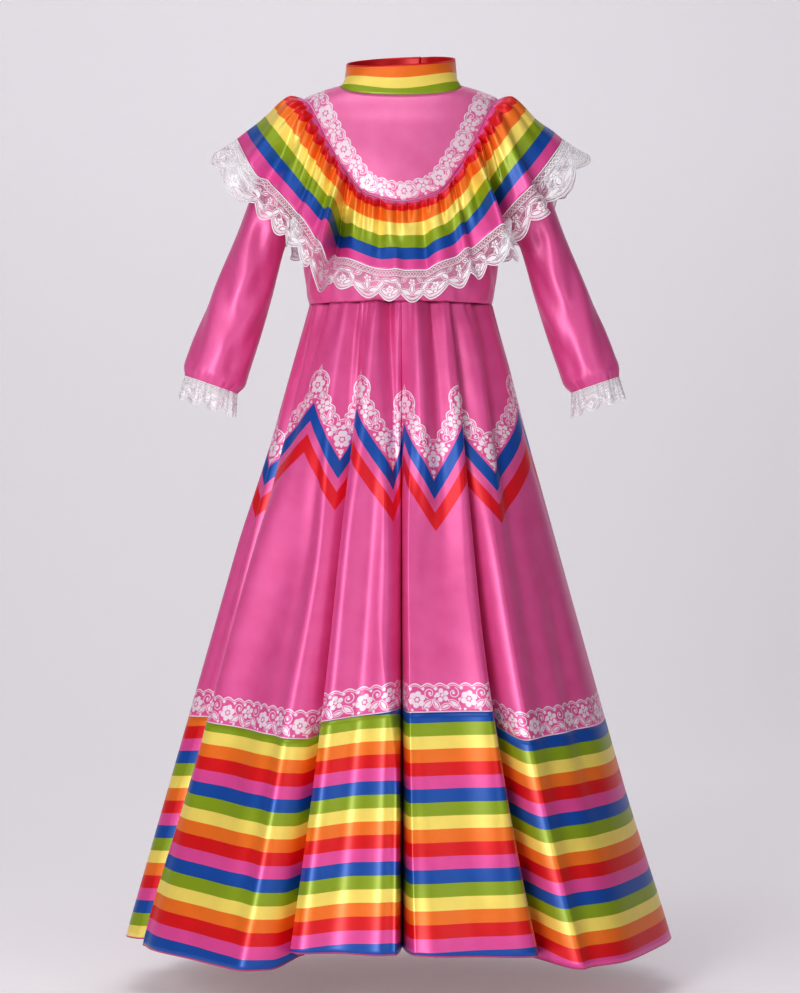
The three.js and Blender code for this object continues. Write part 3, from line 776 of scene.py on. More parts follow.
def flounce_base(share, v):
    angle = seam_angle(share)
    seam = body_point(angle, seam_z(angle))
    near = quarter(angle)
    x = read(flounce_line, "angle", "edge_x", near) * np.sign(angle)
    y = read(flounce_line, "angle", "edge_y", near) * np.where(is_back(angle), 1, -1)
    drop = read(flounce_line, "angle", "edge_drop", near)
    edge = np.stack([x, y, -drop], -1)
    return mix(seam, edge, v[..., None])


def share_apart(share, place):
    """The way round from a place, in millimetres along the flounce's edge."""
    return ((share - place + 3) % 2 - 1) * FLOUNCE_EDGE / 2


def fold_shape(share, place, wide, side):
    """A fold's section, steep on one side of its trough, with a ridge beyond that steep side."""
    apart = share_apart(share, place) * side / wide
    trough = np.exp(-((apart / np.where(apart > 0, FOLD_STEEP, 1)) ** 2))
    ridge = FOLD_RIDGE["rise"] * np.exp(-(((apart - FOLD_RIDGE["away"]) / FOLD_RIDGE["wide"]) ** 2))
    return trough - ridge


def hang(share):
    """How much lower the flounce's edge hangs beside the sharp side of each fold."""
    lower = 0 * share
    for place, deep, wide, side, drop in FLOUNCE_FOLDS:
        apart = share_apart(share, place) * side / wide
        lower = lower + drop * ease(apart, 0, FOLD_STEEP) * np.exp(-np.maximum(apart, 0) / FOLD_HANG["fade"])
    return lower


def gathered_in(share, v):
    """How deep the small gathers of the seam are, at each place on the flounce."""
    depth = 0 * v
    for place, deep, wide, fade in flounce_gathers:
        apart = share_apart(share, place) / (wide * (GATHER_WIDE["seam"] + GATHER_WIDE["open"] * v))
        shown = ease(v, *GATHER_START) * (1 - ease(v, GATHER_END[0] * fade, GATHER_END[1] * fade))
        depth = depth + deep * np.exp(-(apart**2)) * shown
    return depth


def flounce_cloth(share, v):
    lift = SEAM_LEVEL + FLOUNCE_PUFF["rise"] * np.sin(np.pi * np.clip(v, 0, 1) ** FLOUNCE_PUFF["power"])
    rooted = ease(v, 0, FLOUNCE_ROOT["to"])
    lift = lift + FLOUNCE_ROOT["rise"] * rooted * (1 - ease(v, FLOUNCE_ROOT["to"], FLOUNCE_ROOT["gone"]))
    for place, deep, wide, side, drop in FLOUNCE_FOLDS:
        lift = lift - deep * fold_shape(share, place, wide, side) * ease(v, *FLOUNCE_FOLD_ZONE)
    for place, rise, wide, start in flounce_ripples:
        apart = share_apart(share, place) / (wide * (RIPPLE_WIDE["seam"] + RIPPLE_WIDE["open"] * v))
        lift = lift + rise * np.exp(-(apart**2)) * ease(v, start, 1)
    lift = lift - gathered_in(share, v) - SEAM_ROLL["deep"] * (1 - ease(v, 0, FLOUNCE_ROOT["roll"]))
    out = outward(yoke_surface, seam_angle(share), 1 + 0 * v)
    own = outward(flounce_base, share, v)
    out = unit(mix(out, own, rooted[..., None]))
    lower = v + hang(share) / FLOUNCE_LENGTH * ease(v, FOLD_HANG["from"], 1)
    return flounce_base(share, lower) + out * lift[..., None]


def flounce_colour(tree, slub):
    x, y = map_fields(tree, "cloth")
    place = y / -FLOUNCE_STRIPE - FLOUNCE_FIRST
    return shaded(tree, slub, stripes(tree, place, [RED, ORANGE, YELLOW, GREEN, BLUE, STRIPE_PINK]))


flounce_satin = satin("striped satin of the flounce", flounce_colour)
for node, start in (("flounce_front", -0.5), ("flounce_back", 0.5)):
    shares = np.linspace(start, start + 1, FLOUNCE_GRID["columns"] + 1)
    rows = np.linspace(0, 1, FLOUNCE_GRID["rows"] + 1) ** FLOUNCE_GRID["crowd"]
    points = grid_of(flounce_cloth, shares, rows)
    drawn = gathered_in(*np.meshgrid(shares, rows, indexing="ij")) * GATHERS_DRAW["by"]
    hanging = hang(shares)[:, None] * ease(rows, FOLD_HANG["from"], 1)
    down = rows * FLOUNCE_LENGTH + drawn * (1 - ease(rows, 0, GATHERS_DRAW["to"])) + hanging
    down = np.minimum(down, FLOUNCE_LENGTH + LAST_STRIPE_OVER)
    piece, made = cut_piece(node + "_cloth", points, down=down)
    piece.data.materials.append(flounce_satin)
    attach(piece, "root")
    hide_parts(node)


# Flounce lace
# A net lace edging with corded scallops, sewn flat to the lower edge of the flounce. The sheer net
# shows what is behind it, and cords are couched along its scallops and its heading.
LACE = {"depth": 40, "scallops": 40, "scallop_depth": 10, "rows": 18}
LACE_SCALLOP = FLOUNCE_EDGE / LACE["scallops"]
LACE_REPEAT = 2 * LACE_SCALLOP
LACE_THREAD = (0.92, 0.90, 0.92, 1)
LACE_NET = {"cells": 620, "thread": 0.1, "soft": 0.12, "open": 0.04, "close": 0.4}
LACE_FUZZ = {"scale": 900, "by": 0.3, "from": 0.72}
LACE_CHAIN = {"middle": 5.0, "rise": 2.3, "length": 8.2}
LACE_HEADING = {"deep": 1.5, "line": 8.6}
LACE_SCALLOP_LINES = {"edge": 1.3, "fine": 3.1, "inner": 5.2, "inner_line": 0.7, "margin": 5.6}
LACE_VINE = {"at": 21, "swing": 5.5}
# The cords: how far down the lace each lies, and half its thickness
LACE_CORDS = {"edge": (0.985, 0.75), "inner": (0.9, 0.42), "heading": (0.02, 0.7)}
CORD_SINK = 0.3
CORD_SIDE_FROM = 0.8
LACE_MOTIFS = [
    (leaf, (6.5, 27.5), 8.6, 4.0, 24),
    (leaf, (22.5, 27.5), 8.6, 4.0, 156),
    (leaf, (14.4, 24.0), 6.6, 3.2, 90),
    (blossom, (14.4, 15.5), 4.6, 5, 0.1),
    (leaf, (31.0, 20.0), 8.4, 3.6, -48),
    (leaf, (38.0, 14.5), 7.0, 3.0, 8),
    (leaf, (48.5, 14.5), 7.0, 3.0, 172),
    (leaf, (55.5, 20.0), 8.4, 3.6, 228),
    (leaf, (36.5, 28.5), 7.6, 3.4, 38),
    (leaf, (50.0, 28.5), 7.6, 3.4, 142),
    (blossom, (43.2, 25.5), 5.2, 6, 0.2),
    (leaf, (25.0, 12.5), 5.2, 2.3, 40),
    (leaf, (3.8, 12.5), 5.2, 2.3, 140),
    (dot, (43.2, 32.0), 1.6),
    (dot, (29.0, 27.5), 1.5),
    (dot, (0.3, 27.5), 1.5),
]


def lace_group():
    """The worked threads of the lace: 1 where they lie, from places along, below and in from its edge."""
    tree, (x, y, edge) = start_group("worked lace", ("Along", "Below", "Edge"), "Worked")
    motifs = motifs_at(repeated(x, LACE_REPEAT), y, LACE_MOTIFS)
    wave = (x * (math.tau / LACE_CHAIN["length"])).sin() * LACE_CHAIN["rise"]
    centre = y - LACE_CHAIN["middle"]
    chain = (abs(centre - wave) - LINE["stem"]).either(abs(centre + wave) - LINE["stem"])
    heading = (y - LACE_HEADING["deep"]).either(abs(y - LACE_HEADING["line"]) - LINE["curl"])
    lines = LACE_SCALLOP_LINES
    scallop = (edge - lines["edge"]).either(abs(edge - lines["fine"]) - LINE["fine"])
    scallop = scallop.either(abs(edge - lines["inner"]) - lines["inner_line"])
    swing = (x * (math.tau / LACE_REPEAT)).cos() * LACE_VINE["swing"]
    vine = abs(y - LACE_VINE["at"] - swing) - LINE["leaf"]
    inner = motifs.either(vine).both(-edge + lines["margin"])
    return end_group(tree, together([inner, chain, heading, scallop]).filled(0.6))


worked_lace = lace_group()


def lace_material(name):
    """White thread worked on a sheer net, which lets what is behind it show."""
    material, tree, shader = new_material(name)
    edge, depth = map_fields(tree, "edge")
    worked = print_with(worked_lace, *map_fields(tree, "lace"), edge)
    net = put(tree, "ShaderNodeUVMap", uv_map="lace").outputs["UV"]
    cells = put(tree, "ShaderNodeTexVoronoi", feature="DISTANCE_TO_EDGE", Vector=net, Scale=LACE_NET["cells"])
    thread = (Field(tree, cells.outputs["Distance"]) - LACE_NET["thread"]).filled(LACE_NET["soft"])
    sheer = thread * (LACE_NET["close"] - LACE_NET["open"]) + LACE_NET["open"]
    close = noise(tree, net, LACE_FUZZ["scale"]) * LACE_FUZZ["by"] + LACE_FUZZ["from"]
    alpha = (worked * close).both(sheer)
    alpha.socket.node.use_clamp = True
    settle(
        shader,
        Alpha=alpha.socket,
        Normal=relief(tree, worked + thread * 0.3, strength=0.6, distance=0.0006),
        Base_Color=LACE_THREAD,
        Roughness=0.75,
        Sheen_Weight=0.3,
    )
    return material


white_lace = lace_material("white net lace")


def scallop_depth(share):
    wave = np.abs(np.sin(share * LACE["scallops"] * np.pi / 2))
    return LACE["depth"] - LACE["scallop_depth"] * (1 - wave)


def flounce_lace_cloth(share, t):
    base = flounce_base(share, 1 + 0 * t) - flounce_base(share, 0 * t)
    length = np.linalg.norm(base, axis=-1)
    return flounce_cloth(share, 1 + scallop_depth(share) * t / length)


def cord(name, points, thick):
    """A round cord laid along points, as a mesh."""
    line = bpy.data.curves.new(name, "CURVE")
    line.dimensions = "3D"
    line.bevel_depth = thick * MM
    line.bevel_resolution = 1
    spline = line.splines.new("POLY")
    spline.points.add(len(points) - 1)
    places = np.concatenate([points * MM, np.ones((len(points), 1))], -1)
    spline.points.foreach_set("co", places.ravel())
    laid = bpy.data.objects.new(name, line)
    bpy.context.collection.objects.link(laid)
    bpy.context.view_layer.update()
    mesh = bpy.data.meshes.new_from_object(laid.evaluated_get(bpy.context.evaluated_depsgraph_get()))
    bpy.data.objects.remove(laid)
    mesh.name = name
    return place_mesh(name, mesh)


CORD_WHITES = ((0.76, 0.74, 0.76, 1), (0.92, 0.9, 0.91, 1))
CORD_PLY = 1400
cord_white, tree, shader = new_material("white lace cord")
ply = noise(tree, put(tree, "ShaderNodeTexCoord").outputs["Object"], CORD_PLY)
cord_colour = blend_colour(tree, ply, *CORD_WHITES)
twist = relief(tree, ply, strength=0.5, distance=0.0003)
settle(shader, Base_Color=cord_colour, Normal=twist, Roughness=0.7)

for half, start in (("front", -0.5), ("back", 0.5)):
    shares = np.linspace(start, start + 1, FLOUNCE_GRID["columns"] + 1)
    rows = np.linspace(0, 1, LACE["rows"] + 1)
    points = grid_of(flounce_lace_cloth, shares, rows)
    piece, made = cut_piece("flounce_lace_" + half + "_net", points, thick=0)
    depth = scallop_depth(shares)[:, None]
    add_map(piece, made, "lace", shares[:, None] * FLOUNCE_EDGE / 2, rows * depth)
    add_map(piece, made, "edge", (1 - rows) * depth, depth)
    piece.data.materials.append(white_lace)
    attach(piece, "root")
    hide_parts("flounce_lace_" + half)
    for part, (t, thick) in LACE_CORDS.items():
        line = flounce_lace_cloth(shares, t + 0 * shares)
        hung_from = flounce_cloth(shares, CORD_SIDE_FROM + 0 * shares)
        out = unit(np.cross(np.gradient(line, axis=0), line - hung_from))
        trim = cord("flounce_lace_" + half + "_" + part, line - out * CORD_SINK, thick)
        trim.data.materials.append(cord_white)
        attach(trim, "root")


# Sleeves
# Two slim three-quarter sleeves in plain pink satin, each one tube set into its armhole, with a
# narrow elastic in the cuff that puckers the cloth.
sleeve_rails = {
    "along": [0, 0.1, 0.2, 0.3, 0.4, 0.5, 0.7, 0.9, 0.96, 1, 1.05],
    "outer_x": [127.5, 137, 148, 160, 173, 187, 215.2, 240.6, 246, 246.8, 248.6],
    "outer_drop": [28.4, 41, 66, 97, 131, 169, 238.3, 303.5, 322.8, 332.8, 342.4],
    "inner_x": [118.2, 121.6, 124, 127, 130.5, 135.5, 152.8, 173.4, 181, 187.2, 192.3],
    "inner_drop": [147.6, 152, 158.5, 166, 177, 191, 259.7, 326.5, 345.2, 353.2, 361.8],
    "depth": [45.6, 45, 42.5, 39, 35.5, 33, 34, 36, 35, 32, 30],
}
ARMHOLE_GAP = 0.4
SLEEVE_HEAD = 0.035
HEAD_NECK = {"inside": -0.8, "outside": 2.4}
SLEEVE_EASE = {"oval_by": 0.1, "rails_by": 0.3, "girth_from": 0.2, "girth_by": 0.6, "forward": 14}
CUFF = {"end": 0.985, "count": 30, "deep": (0.8, 2.6), "wide": (2.6, 5.0), "reach": (0.03, 0.085)}
CUFF_PUFF = {"rise": 1.6, "at": 0.955, "wide": 0.028}
SLEEVE_GRID = {"columns": 104, "rows": 116, "crowd": 0.92}
SLEEVE_GIRTH = 0.62
LEFT_CREASES_TURNED = 9
SLEEVE_CREASE = {"start": (-0.3, 0.35), "end": (0.6, 1.3), "ridge": 0.45, "ridge_away": 1.7}
SLEEVE_CREASES = [
    (150, 0.34, 205, 0.62, 3.0, 0.035),
    (214, 0.30, 176, 0.50, 2.2, 0.03),
    (235, 0.52, 190, 0.74, 2.6, 0.03),
    (128, 0.58, 178, 0.82, 2.2, 0.03),
    (252, 0.70, 206, 0.93, 2.4, 0.028),
    (100, 0.74, 140, 0.94, 2.2, 0.03),
    (196, 0.78, 212, 0.97, 1.6, 0.022),
    (300, 0.36, 350, 0.58, 2.6, 0.03),
    (20, 0.44, 62, 0.66, 2.4, 0.035),
    (345, 0.62, 30, 0.80, 2.4, 0.03),
    (60, 0.76, 34, 0.95, 2.0, 0.028),
    (268, 0.18, 236, 0.30, 2.6, 0.024),
    (275, 0.26, 315, 0.36, 2.6, 0.026),
    (118, 0.12, 160, 0.26, 1.6, 0.03),
]
sleeves = [
    {"name": "sleeve_right", "lace": "cuff_lace_right", "side": -1, "girth": 1.02, "swing": 0, "seed": 5},
    {"name": "sleeve_left", "lace": "cuff_lace_left", "side": 1, "girth": 0.93, "swing": 5, "seed": 9},
]


def body_width_at(y, z):
    width = read(body_form, "drop", "width", -z)
    return width * np.sqrt(np.maximum(0, 1 - (y / body_depth(z, y < 0)) ** 2))


def sleeve_tube(turn, along, sleeve, lift=0.0):
    """The sleeve's form: a short neck in the armhole, then an oval tube between two rails."""
    psi = turn * TURN
    rail = {column: read(sleeve_rails, "along", column, along) for column in sleeve_rails}
    middle_x = (rail["outer_x"] + rail["inner_x"]) / 2
    middle_z = -(rail["outer_drop"] + rail["inner_drop"]) / 2
    half_x = (rail["outer_x"] - rail["inner_x"]) / 2
    half_z = (rail["inner_drop"] - rail["outer_drop"]) / 2
    slim = mix(1, sleeve["girth"], ease(along, SLEEVE_EASE["girth_from"], SLEEVE_EASE["girth_by"]))
    size = slim * (1 + lift / rail["depth"])
    tube_x = middle_x + half_x * size * np.sin(psi) + sleeve["swing"] * along**2
    tube_y = rail["depth"] * size * np.cos(psi)
    tube_z = middle_z + half_z * size * np.sin(psi)
    hole_y = (ARMHOLE["half_depth"] - ARMHOLE_GAP) * np.cos(psi)
    hole_z = -ARMHOLE["drop"] + (ARMHOLE["half_height"] - ARMHOLE_GAP) * np.sin(psi)
    at_body = 1 - ease(along, SLEEVE_HEAD, SLEEVE_EASE["rails_by"])
    body_x = body_width_at(hole_y, hole_z) - (middle_x + half_x * np.sin(psi))
    neck = mix(HEAD_NECK["inside"], HEAD_NECK["outside"], along / SLEEVE_HEAD)
    round_by = ease(along, SLEEVE_HEAD, SLEEVE_EASE["oval_by"])
    x = sleeve["side"] * (tube_x + (body_x + neck) * at_body)
    forward = SLEEVE_EASE["forward"] * ease(along, SLEEVE_EASE["oval_by"], 1)
    return np.stack([x, mix(hole_y, tube_y, round_by) - forward, mix(hole_z, tube_z, round_by)], -1)


def around_apart(turn, place):
    return (turn - place + 540) % 360 - 180


def sleeve_lift(turn, along, sleeve):
    lift = 0 * turn
    shift = LEFT_CREASES_TURNED if sleeve["side"] > 0 else 0
    for t0, a0, t1, a1, deep, wide in SLEEVE_CREASES:
        x = around_apart(turn, t0 + shift) / 360 * SLEEVE_GIRTH
        run_x = around_apart(t1, t0) / 360 * SLEEVE_GIRTH
        long = math.hypot(run_x, a1 - a0)
        cos, sin = run_x / long, (a1 - a0) / long
        reached = (x * cos + (along - a0) * sin) / long
        across = (along - a0) * cos - x * sin
        shown = ease(reached, *SLEEVE_CREASE["start"]) * (1 - ease(reached, *SLEEVE_CREASE["end"]))
        beyond = across - SLEEVE_CREASE["ridge_away"] * wide
        ridge = SLEEVE_CREASE["ridge"] * np.exp(-((beyond / wide) ** 2))
        lift = lift - deep * (np.exp(-((across / wide) ** 2)) - ridge) * shown
    chance = np.random.default_rng(sleeve["seed"])
    for place, deep, wide, far in spread(chance, 0, 360, CUFF, "deep", "wide", "reach"):
        shown = ease(along, CUFF["end"] - far, CUFF["end"])
        lift = lift - deep * np.exp(-((around_apart(turn, place) / wide) ** 2)) * shown
    return lift + CUFF_PUFF["rise"] * np.exp(-(((along - CUFF_PUFF["at"]) / CUFF_PUFF["wide"]) ** 2))


def sleeve_cloth(sleeve):
    def surface(turn, along):
        return sleeve_tube(turn, along, sleeve, sleeve_lift(turn, along, sleeve))

    return surface


# Cuff lace
# A narrow gathered edging of the same lace on each cuff, waved and cut to scallops.
CUFF_LACE = {"length": 24, "flare": 2.5, "waves": 9, "rise": 2, "scallop": 4, "fine": 27, "fine_rise": 1.1}
CUFF_LACE_GRID = {"columns": 200, "rows": 12}
CUFF_HANG = {"aim_from": 0.8, "plumb": 0.55}
CUFF_PRINT_SCALE = 0.78


def cuff_lace_cloth(sleeve):
    cloth = sleeve_cloth(sleeve)

    def middle(along):
        ends = cloth(np.array([0.0, 180.0]), np.array([along, along]))
        return ends.mean(axis=0)

    centre = middle(1.0)
    down = unit(centre - middle(CUFF_HANG["aim_from"]))
    down = unit(mix(down, np.array([0, 0, -1]), CUFF_HANG["plumb"]))

    def surface(turn, t):
        rim = cloth(turn, 1 + 0 * turn)
        out = unit(rim - centre)
        wave = np.cos(turn * TURN * CUFF_LACE["waves"])
        fine = np.cos(turn * TURN * CUFF_LACE["fine"] + 1)
        length = CUFF_LACE["length"] + CUFF_LACE["scallop"] * wave
        swell = t * (CUFF_LACE["flare"] + CUFF_LACE["rise"] * wave + CUFF_LACE["fine_rise"] * fine)
        return rim + down * (length * t)[..., None] + out * swell[..., None]

    return surface


for sleeve in sleeves:
    side = sleeve["side"]
    turns = np.linspace(0, 360, SLEEVE_GRID["columns"] + 1)
    turns = turns[::-1] if side > 0 else turns
    rows = np.linspace(0, 1, SLEEVE_GRID["rows"] + 1) ** SLEEVE_GRID["crowd"]
    points = grid_of(sleeve_cloth(sleeve), turns, rows)
    piece, made = cut_piece(sleeve["name"] + "_cloth", points, closed=True)
    piece.data.materials.append(pink_satin)
    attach(piece, "root")
    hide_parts(sleeve["name"])

    turns = np.linspace(0, 360, CUFF_LACE_GRID["columns"] + 1)
    turns = turns[::-1] if side > 0 else turns
    rows = np.linspace(0, 1, CUFF_LACE_GRID["rows"] + 1)
    points = grid_of(cuff_lace_cloth(sleeve), turns, rows)
    frill, made = cut_piece(sleeve["lace"] + "_net", points, closed=True, thick=0)
    length = CUFF_LACE["length"] + CUFF_LACE["scallop"] * np.cos(turns * TURN * CUFF_LACE["waves"])
    length = length[:, None] / CUFF_PRINT_SCALE
    along = turns[:, None] / 360 * CUFF_LACE["waves"] * LACE_SCALLOP + LACE_SCALLOP / 2
    add_map(frill, made, "lace", along, rows * length)
    add_map(frill, made, "edge", (1 - rows) * length, length)
    frill.data.materials.append(white_lace)
    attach(frill, "root")
    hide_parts(sleeve["lace"])


# Skirt
# Four flared gores of pink satin, seamed in the valleys between folds and gathered a little into
# the waist. Each has a printed zigzag of blue, pink and red with lace above it, and a printed
# lace border along its lower seam.
HEM_Z = -975
SKIRT = {"width": 105.5, "front": 80, "back": 77, "widen": 0.2795, "deepen": 0.245}
skirt_folds = {
    "angle": [-70, -25.5, 0.3, 34.5, 96, 139, 181, 217, 252],
    "bow": [0, 2, 0, -5, 0, 2, -2, 2, 0],
    "valley": [38, 58, 58, 64, 46, 55, 60, 52, 45],
    "round": [0.34, 0.4, 0.36, 0.2, 0.3, 0.34, 0.3, 0.36, 0.2],
    "round_hem": [0.26, 0.14, 0.3, 0.2, 0.22, 0.3, 0.24, 0.3, 0.2],
    "out_a": [2, -7, 2, 8, -2, -4, 3, 5, 0],
    "out_b": [9, 2, -2, -4, 5, 4, -4, 2, 4],
    "seam_a": [719, 716, 704, 737, 722, 718, 712, 722, 723],
    "seam_b": [735, 700, 703, 720, 722, 714, 718, 724, 719],
    "hem_a": [968, 955, 954, 978, 972, 966, 964, 971, 972],
    "hem_b": [976, 954, 962, 971, 970, 966, 968, 973, 966],
}
skirt_folds = {name: np.array(column, float) for name, column in skirt_folds.items()}
FOLDS = 9
FOLD = {"crowd": 0.7, "wall": 0.15, "ripples": 2.5, "ripple_rise": 4}
FOLD_ROUND = {"left": 0.17, "power": 1.3, "share": 0.95, "early": -0.22, "from": 0.45, "to": 0.75}
FOLD_AT_WAIST = {"crowd": 0.2, "wall": 0.3}
FOLD_FORMED = 0.45
FOLD_FACE = {"from": 0.1, "to": 0.3}
WAIST_GATHERS = {"count": 62, "rise": (0.8, 2.6), "wide": (0.03, 0.075), "fade": (8, 44)}
GATHER_FADE = (0.2, 2.4)
CREASE_SCALE = {"deep": 1.7, "wide": 2.1}
CREASE_ENDS = {"start": (-0.08, 0.12), "end": (-0.15, 0.1)}
SKIRT_GRID = {"fold": 76, "rows": 108, "crowd": 1.1}
gores = [("front_right", 0, 2), ("front_left", 2, 2), ("back_left", 4, 2), ("back_right", 6, 3)]
tier_cut = {"front_right": 0.515, "front_left": 0.63, "back_left": 0.575, "back_right": 0.735}
skirt_chance = np.random.default_rng(44)
waist_gathers = spread(skirt_chance, 0, FOLDS, WAIST_GATHERS, "rise", "wide", "fade")
# Main creases: two places that each passes (folds round, share down), how deep it is and how wide,
# and the shares down where it starts and ends. A ridge has a negative depth.
SKIRT_CREASES = [
    (0.401, 0.309, 0.289, 0.579, -3.5, 0.050, 0.20, 1.10),
    (0.587, 0.409, 0.487, 0.614, 5.0, 0.070, 0.30, 0.85),
    (0.673, 0.331, 0.673, 0.624, 3.6, 0.030, 0.22, 1.00),
    (0.754, 0.399, 0.750, 0.624, -2.6, 0.040, 0.25, 1.10),
    (0.150, 0.300, 0.190, 0.700, 3.0, 0.050, 0.20, 0.90),
    (0.882, 0.021, 0.867, 0.131, 3.4, 0.045, -0.1, 0.30),
    (0.300, 0.040, 0.330, 0.160, 3.4, 0.055, -0.1, 0.30),
    (1.537, 0.421, 1.510, 0.606, 2.4, 0.050, 0.30, 0.95),
    (1.429, 0.031, 1.413, 0.116, -3.6, 0.070, -0.1, 0.34),
    (1.689, 0.031, 1.747, 0.164, 5.6, 0.055, -0.1, 0.36),
    (1.300, 0.500, 1.280, 0.800, -3.0, 0.060, 0.25, 1.10),
    (2.274, 0.046, 2.328, 0.156, -4.0, 0.060, -0.1, 0.34),
    (2.549, 0.186, 2.569, 0.109, 5.0, 0.055, -0.1, 0.40),
    (2.805, 0.309, 2.701, 0.609, -3.2, 0.050, 0.05, 1.10),
    (2.360, 0.400, 2.330, 0.700, 3.6, 0.070, 0.24, 0.95),
    (3.050, 0.036, 3.104, 0.154, 4.2, 0.045, -0.1, 0.34),
    (3.387, 0.044, 3.399, 0.136, 3.6, 0.055, -0.1, 0.34),
    (3.344, 0.269, 3.302, 0.611, 5.5, 0.034, 0.12, 1.10),
    (3.453, 0.386, 3.410, 0.576, 3.2, 0.045, 0.28, 0.80),
    (3.480, 0.501, 3.457, 0.616, 3.0, 0.022, 0.44, 0.80),
    (3.700, 0.300, 3.680, 0.700, 3.2, 0.050, 0.15, 0.90),
    (4.300, 0.200, 4.350, 0.700, 4.0, 0.060, 0.12, 0.85),
    (4.620, 0.300, 4.550, 0.700, 3.6, 0.050, 0.22, 1.10),
    (4.800, 0.100, 4.780, 0.400, 2.6, 0.040, -0.1, 0.38),
    (5.300, 0.250, 5.260, 0.600, 3.6, 0.060, 0.18, 0.92),
    (5.550, 0.400, 5.620, 0.800, -3.0, 0.050, 0.30, 1.10),
    (5.720, 0.020, 5.700, 0.200, 2.6, 0.050, -0.1, 0.30),
    (6.250, 0.300, 6.300, 0.700, 4.2, 0.050, 0.20, 0.82),
    (6.500, 0.350, 6.470, 0.700, -3.0, 0.060, 0.24, 1.10),
    (6.700, 0.300, 6.760, 0.700, 3.0, 0.040, 0.18, 0.92),
    (7.300, 0.200, 7.260, 0.600, 3.6, 0.060, 0.08, 0.75),
    (7.450, 0.020, 7.430, 0.150, 2.6, 0.050, -0.1, 0.26),
    (7.600, 0.400, 7.660, 0.800, 3.2, 0.050, 0.34, 1.10),
    (8.300, 0.300, 8.350, 0.700, 4.0, 0.060, 0.20, 0.86),
    (8.600, 0.350, 8.620, 0.700, -3.0, 0.050, 0.28, 1.10),
    (8.750, 0.300, 8.800, 0.600, 2.6, 0.040, 0.18, 0.72),
]


def fold_numbers(around):
    whole = np.floor(around).astype(int)
    return whole % FOLDS, (whole + 1) % FOLDS, (whole - 1) % FOLDS, around - whole


def fold_size(around, a, b):
    this, after, before, t = fold_numbers(around)
    start, end = skirt_folds[a], skirt_folds[b]
    at_start = (end[before] - start[this]) / 2
    at_end = (start[after] - end[this]) / 2
    plain = mix(start[this], end[this], ease(t, 0, 1))
    near_start = at_start * (1 - ease(t, 0, FOLD["wall"]))
    return plain + near_start + at_end * ease(t, 1 - FOLD["wall"], 1)


def tier_seam_z(around):
    return -fold_size(around, "seam_a", "seam_b")


def hem_z(around):
    return -fold_size(around, "hem_a", "hem_b")


def skirt_point(around, z):
    this, after, before, t = fold_numbers(around)
    start = skirt_folds["angle"][this] + 360 * np.floor(around / FOLDS)
    end = skirt_folds["angle"][after] + 360 * np.floor((np.floor(around) + 1) / FOLDS)
    down = WAIST_Z - z
    share = np.maximum(down / (WAIST_Z - HEM_Z), 1e-4)
    formed = ease(share, 0, FOLD_FORMED)
    crowd = mix(FOLD_AT_WAIST["crowd"], FOLD["crowd"], formed) / math.tau
    wall = mix(FOLD_AT_WAIST["wall"], FOLD["wall"], formed)
    bow = np.sin(np.pi * share)
    across = t - crowd * np.sin(math.tau * t)
    first = start + skirt_folds["bow"][this] * bow
    last = end + skirt_folds["bow"][after] * bow
    a = mix(first, last, across) * TURN
    depth = np.where(np.cos(a) > 0, SKIRT["front"], SKIRT["back"]) + SKIRT["deepen"] * down
    width = SKIRT["width"] + SKIRT["widen"] * down
    point = np.stack([width * np.sin(a), -depth * np.cos(a), z], -1)
    left = mix(wall, FOLD_ROUND["left"], formed)
    lower = ease(share, FOLD_ROUND["from"], FOLD_ROUND["to"])
    right = mix(skirt_folds["round"][this], skirt_folds["round_hem"][this], lower)
    right = mix(wall, right, formed)
    valley = skirt_folds["valley"][this] * np.clip(1 - t / left, 0, 1) ** FOLD_ROUND["power"]
    on_right = np.clip(1 - (1 - t) / right, 0, 1) ** FOLD_ROUND["power"]
    valley = (valley + skirt_folds["valley"][after] * on_right) * share ** FOLD_ROUND["early"]
    face = ease(np.minimum(t, 1 - t), FOLD_FACE["from"], FOLD_FACE["to"])
    ripple = FOLD["ripple_rise"] * face * np.cos(math.tau * FOLD["ripples"] * (t - 0.5))
    lift = share * (fold_size(around, "out_a", "out_b") - valley * FOLD_ROUND["share"] - ripple)
    whole = around % FOLDS
    for place, rise, wide, fade in waist_gathers:
        apart = (whole - place + FOLDS / 2) % FOLDS - FOLDS / 2
        shown = 1 - ease(down, GATHER_FADE[0] * fade, GATHER_FADE[1] * fade)
        lift = lift - rise * np.exp(-((apart / wide) ** 2)) * shown
    for a0, s0, a1, s1, deep, wide, start_at, end_at in SKIRT_CREASES:
        middle = mix(a0, a1, (share - s0) / (s1 - s0))
        apart = (whole - middle + FOLDS / 2) % FOLDS - FOLDS / 2
        starts = [start_at + by for by in CREASE_ENDS["start"]]
        ends = [end_at + by for by in CREASE_ENDS["end"]]
        shown = ease(share, *starts) * (1 - ease(share, *ends))
        across = apart / (wide * CREASE_SCALE["wide"])
        lift = lift - deep * CREASE_SCALE["deep"] * np.exp(-(across**2)) * shown
    return point + level(point) * lift[..., None]


def skirt_cloth(around, t):
    z = mix(WAIST_Z + 0 * around, tier_seam_z(around), t)
    return skirt_point(around, z)


def tier_cloth(around, t):
    return skirt_point(around, mix(tier_seam_z(around), hem_z(around), t))


SKIRT_SLOPE = 1.035
SKIRT_ROWS = np.linspace(0, 1, SKIRT_GRID["rows"] + 1) ** SKIRT_GRID["crowd"]

